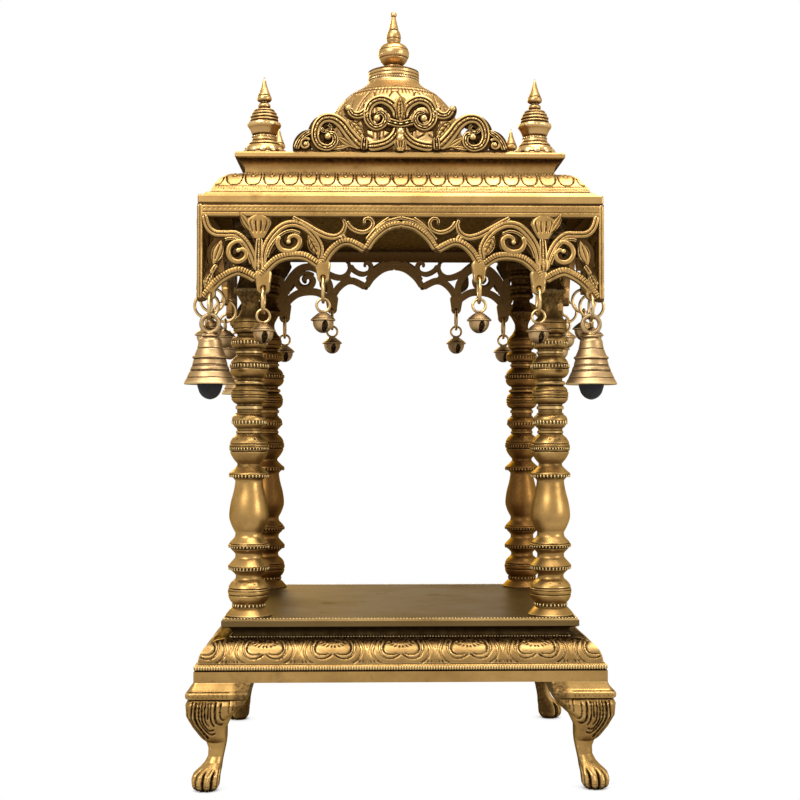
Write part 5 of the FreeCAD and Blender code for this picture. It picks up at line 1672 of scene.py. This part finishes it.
@dataclass
class Dome:
    """Dome with leaf cuts, its drum and the pot finial.

    `columns` is how many facets each leaf is wide, and `lean` is how far the dome stands from the middle.
    """

    radius: float = 49.0
    rise: float = 65.6
    petals: int = 14
    columns: int = 26
    rows: int = 150
    lean: float = -2.6

    def build(self, material: bpy.types.Material, smooth: bpy.types.Material) -> None:
        """Builds the dome, the drum and the pot finial.

        Args:
            material: the carved surface's material.
            smooth: the smooth surfaces' material.
        """
        self.shell(material)
        self.drum(smooth)
        self.kalash(smooth)

    def shell(self, material: bpy.types.Material) -> None:
        """Builds the dome.

        Args:
            material: its material.
        """
        foot, top = ROOF_FOOT, ROOF_FOOT + self.rise
        _, radius, height = even_steps(outline([
            (self.radius + 1.5, foot), (self.radius + 1.5, foot + 3.0), (self.radius, foot + 3.9),
            ((48.6, foot + 24.0), (42.6, foot + 41.6)), ((36.4, foot + 50.6), (29.6, foot + 57.0)),
            (28.7, foot + 57.5), ((23.6, foot + 60.4), (19.0, foot + 64.0)), (18.2, top), (0.0, top)], 30),
            self.rows + 1)
        split = foot + 57.3
        leaf_top = 0.80

        def shape(first: np.ndarray, second: np.ndarray) -> Relief:
            """Places and grime over the dome."""
            row = np.rint(second * self.rows).astype(int)
            angle = math.tau * first
            local = np.abs(np.mod(first * self.petals, 1.0) - 0.5) * 2.0
            level = (height[row] - foot) / self.rise
            skirt = ramp(level - 0.07, 0.03) * ramp(0.86 - level, 0.02)
            leaf_half = 0.98 * np.sqrt(np.clip(1.0 - (level / leaf_top) ** 2.4, 0.0, 1.0))
            border = bell_curve(local, leaf_half, 0.07) * (level < leaf_top)
            inner = bell_curve(local, leaf_half - 0.22, 0.05) * (level < 0.72)
            ribs = np.clip(np.cos(math.tau * (12.0 * level + 1.2 * local)) * 2.4 - 0.8, 0, 1)
            ribs = ribs * (local < leaf_half - 0.30) * (local > 0.10)
            dashes = np.clip(np.cos(math.tau * first * self.petals * 6.0) * 2.4 - 1.2, 0, 1)
            dashes = dashes * ramp(level - 0.76, 0.02) * (local > leaf_half + 0.12)
            lines = np.maximum.reduce([border, 0.8 * inner, 0.85 * ribs, 0.8 * dashes]) * skirt
            collar = bell_curve(height[row], split, 0.5) + bell_curve(height[row], split - 3.0, 0.45)
            lines = np.clip(np.maximum(lines, collar), 0, 1)
            lift = np.where(radius[row] < 0.5, 0.0, radius[row] - 0.8 * lines)
            return np.column_stack([self.lean + lift * np.cos(angle), lift * np.sin(angle), height[row]]), lines

        piece = Piece("carved_dome")
        piece.grid(self.columns * self.petals, self.rows, shape)
        piece.weld(0.01)
        piece.finish(material, SHRINE, ["dome"])

    def drum(self, material: bpy.types.Material) -> None:
        """Builds the drum.

        Args:
            material: its material.
        """
        foot = ROOF_FOOT + self.rise
        piece = Piece("turned_drum")
        piece.lathe(engraved(outline([
            (17.9, -1.2), (17.9, 0.6), (17.2, 1.0), (17.2, 2.8), (17.7, 3.2), (17.7, 6.8), (16.9, 7.1), (16.9, 7.6),
            (17.5, 7.9), ((15.4, 9.0), (11.4, 9.6))], 8), ((5.0, 0.3),)), (self.lean, 0.0), foot, 96)
        piece.bead_ring((self.lean, 0.0), 17.1, foot + 1.9, 0.8, 62)
        piece.finish(material, SHRINE, ["drum"])

    def kalash(self, material: bpy.types.Material) -> None:
        """Builds the pot finial.

        Args:
            material: its material.
        """
        foot = box_mm("kalash")[0].z
        piece = Piece("kalash_finial")
        piece.lathe(engraved(outline([
            (8.6, 0.0), (8.4, 0.8), ((6.2, 1.6), (5.9, 2.8)), (6.7, 3.6),
            ((9.8, 7.6), (10.7, 10.2)), ((10.2, 14.2), (5.3, 18.2)), (4.5, 18.8), (4.5, 19.2),
            ((5.1, 23.4), (3.9, 27.2)), (3.2, 27.8), (3.4, 28.6), ((2.4, 32.8), (1.4, 37.0)),
            ((2.2, 39.0), (0.0, 40.9))], 10),
            ((8.0, 0.3), (13.6, 0.3), (21.8, 0.25), (27.6, 0.3))), (self.lean, 0.0), foot, 72)
        for radius, height, bead, count in ((10.3, 9.8, 0.55, 48), (8.7, 14.9, 0.55, 42), (4.6, 22.6, 0.6, 20)):
            piece.bead_ring((self.lean, 0.0), radius, foot + height, bead, count)
        piece.finish(material, SHRINE, ["kalash"])


@dataclass
class Turret:
    """Corner finial: scalloped foot, bowl with a notched rim, stepped tiers and a bud."""

    x: float = 86.7
    y: float = 72.7
    grooves: tuple[Pair, ...] = (
        (2.0, 0.4), (7.0, 0.8), (9.6, 0.5), (13.4, 0.6), (22.2, 0.7), (24.2, 0.8), (26.4, 0.9), (28.6, 0.9),
        (38.9, 0.3),
    )

    def build(self, corner: str, material: bpy.types.Material) -> bpy.types.Object:
        """Builds a corner's finial.

        Args:
            corner: the corner's name.
            material: its material.

        Returns:
            The finial.
        """
        across, along = corner_signs(corner)
        place = (across * self.x, along * self.y)
        piece = Piece(f"{corner}_finial")
        piece.lathe(engraved(outline([
            (12.6, 0.0), (12.8, 1.2), ((12.0, 4.6), (9.8, 8.2)), (8.2, 10.2), (7.5, 11.6), (7.6, 12.8),
            ((8.4, 15.2), (9.6, 17.8)), (10.3, 18.6), (10.7, 20.0), (10.4, 21.2), (9.5, 21.7), (9.1, 22.0),
            (9.1, 23.6), ((8.9, 25.6), (8.1, 27.0)), ((7.3, 28.8), (4.4, 30.4)), (3.3, 31.0),
            ((4.0, 32.4), (3.0, 33.9)), (2.4, 34.4), (2.4, 35.2), ((4.4, 35.8), (4.7, 37.4)), (4.5, 38.6), (3.9, 39.6),
            ((2.3, 43.6), (1.0, 48.8)), (0.0, 51.2)], 8), self.grooves, 0.85), place, ROOF_FOOT, 56)
        piece.bead_ring(place, 11.9, ROOF_FOOT + 2.6, 2.3, 12, (0.9, 1.1, 1.1))
        piece.bead_ring(place, 10.3, ROOF_FOOT + 19.8, 0.8, 28, (0.7, 0.8, 1.4))
        piece.bead_ring(place, 7.6, ROOF_FOOT + 12.2, 0.6, 26)
        return piece.finish(material, SHRINE, [f"{corner}_turret"])


# Bells


@dataclass
class Hung:
    """What hangs by a wire ring and a loop of its own: their sizes, and how finely they are made.

    The facets are round the ring and round its wire, and a loop's third number is how dark it is.
    """

    ring: float = 7.7
    wire: float = 1.0
    play: float = 0.25
    loop: float = 5.3
    loop_wire: float = 1.4
    ring_facets: tuple = (48, 12)
    loop_facets: tuple = (48, 12, 0.4)

    def hang(self, node: str, material: bpy.types.Material, along_x: bool) -> tuple[Pair, float]:
        """Builds the ring and the loop.

        Args:
            node: the frame's node, which is also the body.
            material: their material.
            along_x: True if the ring lies across X.

        Returns:
            The middle of the node in plan, and the height of the loop's foot.
        """
        low, high = box_mm(node)
        place = ((low.x + high.x) / 2, (low.y + high.y) / 2)
        eye = high.z - self.wire
        ring_axis, loop_axis = "XY" if along_x else "YX"
        piece = Piece(f"{node}_ring")
        piece.torus((*place, eye - self.ring), ring_axis, self.ring, self.wire, *self.ring_facets)
        centre = eye - 2 * self.ring + self.wire + self.play + self.loop_wire - self.loop
        piece.torus((*place, centre), loop_axis, self.loop, self.loop_wire, *self.loop_facets)
        piece.finish(material, node, slot="bell_brass")
        return place, centre - self.loop


@dataclass
class HungBell(Hung):
    """A corner bell with its ring, loop, collar, turned lines and clapper."""

    collar: float = 3.2
    height: float = 28.6
    clapper: float = 7.9

    def build(self, corner: str, material: bpy.types.Material, iron: bpy.types.Material) -> None:
        """Builds a corner's bell.

        Args:
            corner: the corner's name.
            material: the bell's material.
            iron: the clapper's material.
        """
        body = f"{corner}_bell"
        place, foot = self.hang(body, material, True)
        crown = foot - self.collar
        bell = Piece(f"{corner}_turned_bell")
        h = self.height
        bell.lathe(engraved(outline([
            (14.4, -h + 0.4), (15.5, -h), (15.8, -h + 0.7), ((12.3, -h + 8.0), (9.9, -13.5)), (10.6, -12.7),
            ((10.7, -12.0), (9.7, -11.2)), ((8.1, -7.4), (7.0, -2.6)), ((6.5, -1.0), (4.9, -0.2)), (4.4, 0.3),
            ((4.9, 1.0), (4.0, 1.9)), (2.8, 2.4), (2.6, 3.2), (0.0, 3.3)], 10),
            ((-24.6, 0.25), (-20.6, 0.35), (-19.9, 0.2), (-16.6, 0.35), (-17.4, 0.25), (-13.1, 0.3), (-6.6, 0.3))),
            place, crown, 72, closed=False)
        bell.lathe([(14.4, -h + 0.4), (12.0, -h + 5.0), (10.4, -h + 10.0), (8.2, -13.0), (7.4, -8.0), (5.6, -3.4),
                    (2.0, -2.2), (0.0, -2.1)], place, crown, 72, closed=False)
        bell.weld(0.02)
        bell.finish(material, body, [body], slot="bell_brass")
        self.tongue(corner, place, iron)

    def tongue(self, corner: str, place: Pair, iron: bpy.types.Material) -> None:
        """Builds a corner's clapper.

        Args:
            corner: the corner's name.
            place: the bell's axis in plan.
            iron: the clapper's material.
        """
        low, high = box_mm(f"{corner}_clapper")
        ball = low.z + self.clapper
        stem = high.z - ball
        piece = Piece(f"{corner}_clapper_ball")
        piece.lathe(outline([
            (0.0, -self.clapper), ((5.0, -5.6), (6.9, -2.2)), (7.6, 0.0), (7.8, 1.6), ((6.2, 5.2), (1.6, 7.6)),
            (1.1, 9.0), (1.1, stem - 3.2), (0.5, stem - 2.4), (0.0, stem - 2.3)], 10), place, ball, 40)
        piece.torus((*place, high.z - 1.85), "X", 1.3, 0.5, 20, 8)
        piece.finish(iron, f"{corner}_clapper", [f"{corner}_clapper"], slot="black_iron")


@dataclass
class Jingle(Hung):
    """A small closed bell with a brim, a keyhole slot on both faces, its loop and its ring."""

    loop: float = 4.0
    loop_wire: float = 0.85
    ring_facets: tuple = (36, 10)
    loop_facets: tuple = (28, 8, 0.35)

    def build(self, node: str, material: bpy.types.Material, ring_brass: bpy.types.Material) -> None:
        """Builds one.

        Args:
            node: the frame's node that it stands for.
            material: its material.
            ring_brass: the ring's material.
        """
        along_x = node.startswith(("front", "rear"))
        (x, y), top = self.hang(node, ring_brass, along_x)
        bell = Piece(f"{node}_bell")
        bell.lathe(engraved(outline([
            (0.0, -13.0), (1.4, -12.9), ((4.9, -10.4), (6.25, -6.4)), (6.3, -5.7), (7.5, -5.4), (7.65, -4.8),
            (7.2, -4.3), ((4.5, -1.9), (1.7, 0.0)), (0.9, 0.3), (0.0, 0.4)], 14), ((-4.2, 0.08),)), (x, y), top, 96)
        for sign in (-1.0, 1.0):
            away = Vector((sign, 0.25 * sign, 0.0)) if not along_x else Vector((0.25, sign, 0.0))
            away.normalize()
            bell.keyhole((x + 6.0 * away.x, y + 6.0 * away.y, top - 9.1), -away, 1.75, 3.5, 1.9)
        bell.finish(material, node, [node], slot="bell_brass")


# Legs


@dataclass
class Leg:
    """Cabriole leg: plain block, ticked roll, a knee cut with nested U lines, and a toed paw.

    Sections give the height, the outer and inner faces and the corner round, for the +X +Y corner.
    Patterns are drawn as distance in from the leg's outer edge and height above the ground. The toes
    are cut at `toes` degrees from the corner's diagonal.
    """

    apron: float = 125.8
    top: float = 66.0
    knee: Pair = (25.0, 56.6)
    roll: float = 58.4
    paw: float = 13.6
    toes: tuple[float, ...] = (-104.0, -72.0, -37.0, 0.0, 37.0, 72.0, 104.0)
    sections: tuple = (
        (66.0, 0.06, -34.8, 1.6), (64.6, 0.7, -34.6, 1.8), (61.6, 2.4, -34.3, 2.2), (61.0, 3.6, -34.2, 2.6),
        (60.0, 4.6, -34.0, 3.0), (58.4, 4.9, -33.6, 3.6), (57.0, 4.6, -33.0, 4.0), (56.0, 3.4, -32.6, 4.4),
        (53.0, 5.0, -31.0, 6.6),
        (45.6, 4.8, -23.0, 8.6), (38.6, 1.4, -19.8, 8.0), (32.0, -2.9, -19.6, 7.2), (30.2, -4.4, -19.4, 7.0),
        (28.6, -6.4, -19.2, 6.2), (24.6, -7.8, -18.4, 5.2), (20.0, -7.7, -17.4, 4.6), (16.6, -6.0, -16.8, 4.9),
        (13.0, -2.8, -16.4, 5.6), (9.6, 0.2, -15.8, 7.4), (6.5, 1.2, -15.6, 8.0), (3.4, 1.0, -15.2, 7.6),
        (1.4, -0.2, -14.0, 6.8), (0.0, -2.2, -12.4, 4.8),
    )
    rows: int = 132
    columns: int = 168

    drawing: tuple = (
        (((132, 520), (120, 600), (112, 680), (126, 740), (160, 805), (200, 870), (238, 930), (228, 975)), 1.0, 0.6),
        (((172, 530), (160, 600), (160, 680), (174, 742), (208, 806), (246, 868), (285, 925)), 1.9, 0.45),
        (((208, 520), (200, 600), (200, 684), (214, 742), (246, 800), (284, 850), (322, 884), (362, 872)), 0.95, 0.6),
        (((240, 520), (232, 600), (233, 688), (246, 748), (276, 800), (306, 836), (350, 826)), 0.95, 0.6),
        (((274, 522), (264, 600), (265, 690), (276, 742), (298, 772)), 0.95, 0.6),
        (((304, 530), (298, 620), (294, 690)), 0.95, 0.55),
        (((334, 524), (326, 620), (326, 692), (338, 744), (358, 778)), 0.95, 0.6),
        (((382, 524), (374, 600), (374, 684), (390, 738), (430, 764), (462, 760)), 1.7, 0.45),
        (((436, 530), (428, 600), (430, 662), (446, 702), (472, 716), (494, 700)), 0.9, 0.55),
        (((522, 500), (516, 630)), 0.6, 0.3),
        (((562, 500), (560, 600)), 0.6, 0.3),
    )
    drawing_scale: float = 0.0563
    drawing_edge: float = 45.0
    drawing_ground: float = 1495.0

    def cuts(self) -> list[Stroke]:
        """The knee's cut lines, brought from the drawing's own units.

        Returns:
            The strokes, as (distance from the outer edge, height).
        """
        scale, edge, ground = self.drawing_scale, self.drawing_edge, self.drawing_ground
        return [Stroke(tuple(((x - edge) * scale, (ground - y) * scale) for x, y in points), width, depth)
                for points, width, depth in self.drawing]

    def knee_relief(self, draw: np.ndarray, height: np.ndarray, outward: np.ndarray) -> Relief:
        """The cuts of the knee and the ticks and lines of the roll.

        Args:
            draw: distance in from the outer edge.
            height: height above the ground.
            outward: 1 on the middle of a face and 0 on a corner.

        Returns:
            Depth, and grime with painted shade on the inner faces.
        """
        depth, grime = cut(self.cuts(), draw, height)
        on_knee = np.where((height < self.knee[1]) & (height > self.knee[0]), 1.0, 0.0) * outward
        face = ramp(27.6 - draw, 1.2)
        roll = np.clip(1.0 - np.abs(height - self.roll) / 1.6, 0, 1)
        tick = np.clip(np.cos(math.tau * draw / 1.35) * 2.0 - 0.9, 0.0, 1.0) * roll * outward * face
        line = (bell_curve(height, 60.9, 0.35) + bell_curve(height, 56.0, 0.4)) * outward * face
        # painted shade on the inner faces of the upper leg
        inward = ramp(draw - 27.0, 4.0) * ramp(height - 22.0, 10.0)
        grime = np.maximum(grime * on_knee, 0.62 * inward)
        return depth * on_knee + 0.35 * tick + 0.3 * line, np.clip(grime + 0.8 * tick + 0.9 * line, 0, 1)

    def paw_relief(self, turn: np.ndarray, height: np.ndarray) -> Relief:
        """The toes and claws of the paw.

        Args:
            turn: degrees from the corner's diagonal.
            height: height above the ground.

        Returns:
            Depth and grime.
        """
        toes = np.maximum.reduce([bell_curve(turn, mark, 7.0) for mark in self.toes])
        low = ramp(self.paw - height, 3.0)
        fore = np.clip((115.0 - np.abs(turn)) / 10.0, 0, 1)
        wave = np.abs(np.sin(np.radians(turn) * 5.0))
        bulge = wave * 0.9 * low * np.clip(height / 1.5, 0.4, 1) * fore
        claw = bell_curve(height, 3.8, 0.4) * np.clip(wave * 2 - 0.9, 0, 1) * fore
        return 1.5 * toes * low - bulge + 0.35 * claw, toes * low + 0.8 * claw

    def build(self, corner: str, material: bpy.types.Material) -> bpy.types.Object:
        """Builds a corner's leg.

        Args:
            corner: the corner's name.
            material: its material.

        Returns:
            The leg.
        """
        side_x, side_y = corner_signs(corner)
        heights, *columns = np.array(self.sections[::-1]).T
        levels = np.linspace(0.0, self.top, self.rows + 1)
        outer, inner, corner_round = (np.interp(levels, heights, column) for column in columns)
        loop = self.rows + 2

        def shape(first: np.ndarray, second: np.ndarray) -> Relief:
            """Places, and grime and painted shade, over the leg."""
            row = np.rint(second * loop).astype(int)
            level = np.clip(row - 1, 0, self.rows)
            height = levels[level]
            size = outer[level] - inner[level]
            middle = self.apron + 0.5 * (outer[level] + inner[level])
            px, py, nx, ny = rounded_square(first, 0.5 * size, np.minimum(corner_round[level], 0.49 * size))
            reach = self.apron + 4.9
            draw = reach - (middle + np.where(ny > nx, px, py))
            knee_depth, knee_grime = self.knee_relief(draw, height, ramp(np.maximum(nx, ny) - 0.62, 0.2))
            paw_depth, paw_grime = self.paw_relief(np.degrees(np.arctan2(ny, nx)) - 45.0, height)
            depth, grime = knee_depth + paw_depth, np.clip(knee_grime + paw_grime, 0, 1)
            pull = np.where((row == 0) | (row == loop), 0.0, 1.0)
            x = (middle + (px - depth * nx) * pull) * side_x
            y = (middle - SET_BACK + (py - depth * ny) * pull) * side_y
            return np.column_stack([x, y, height]), grime * pull

        piece = Piece(f"{corner}_paw_leg")
        piece.grid(self.columns, loop, shape)
        piece.weld(0.01)
        return piece.finish(material, SHRINE, [f"{corner}_leg"])


def rounded_square(share: np.ndarray, half: np.ndarray, radius: np.ndarray) -> tuple[np.ndarray, ...]:
    """A point and its normal on a round-cornered square.

    Args:
        share: how far round it, 0 to 1, from the middle of its -Y side.
        half: half its width.
        radius: its corner round.

    Returns:
        x, y and the two parts of the normal.
    """
    straight = 2.0 * (half - radius)
    quarter = straight + 0.5 * math.pi * radius
    run = np.mod(share, 1.0) * 4.0
    side = np.floor(run).astype(int) % 4
    within = (run - np.floor(run)) * quarter
    on_side = within < straight
    angle = np.where(on_side, 0.0, (within - straight) / np.maximum(radius, 1e-6))
    x = np.where(on_side, half, half - radius + radius * np.cos(angle))
    y = np.where(on_side, within - 0.5 * straight, half - radius + radius * np.sin(angle))
    nx, ny = np.cos(angle), np.sin(angle)
    turn = side * 0.5 * math.pi
    cosine, sine = np.cos(turn), np.sin(turn)
    return x * cosine - y * sine, x * sine + y * cosine, nx * cosine - ny * sine, nx * sine + ny * cosine


def main() -> None:
    """Builds the studio, then each sub-assembly in order."""
    logging.basicConfig(level=logging.INFO, format="%(name)s: %(message)s")
    workshop = Workshop()
    Studio().build()
    brass, shaded_finish, smooth, bell_brass = (workshop.brass(finish) for finish in (POLISHED, SHADED_COPY, SMOOTH, BELL))
    iron = workshop.iron(IronFinish())
    Base().build(workshop)
    Canopy().build(workshop)
    for corner in CORNERS:
        # rear posts take the darker copy: painted shade
        Post().build(corner, brass if "front" in corner else shaded_finish)
        Leg().build(corner, brass)
        Turret().build(corner, smooth)
        HungBell().build(corner, bell_brass, iron)
    rim = Canopy.rim
    side_stretch = (rim - SET_BACK - 3.0) / rim
    for side in (Side.FRONT, Side.REAR, Side.LEFT, Side.RIGHT):
        node = f"{side.name.lower()}_valance"
        front = side is Side.FRONT
        # plain valance plates: near-black at the front and a darker copy elsewhere, as painted shade
        dress(node, workshop.brass(SHADED_GROUND if front else SHADED_INNER))
        outer, stretch = (rim - SET_BACK, 1.0) if side.along_x else (rim, side_stretch)
        Valance(node, side.value, outer, stretch).build(brass if front else shaded_finish)
    dress("front_crest", workshop.brass(SHADED_GROUND))
    Crest().build(brass)
    Dome().build(workshop.brass(DOMED), smooth)
    for node in sorted(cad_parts):
        if "_jingle_" in node:
            Jingle().build(node, bell_brass, smooth)


if __name__ == "__main__":
    main()
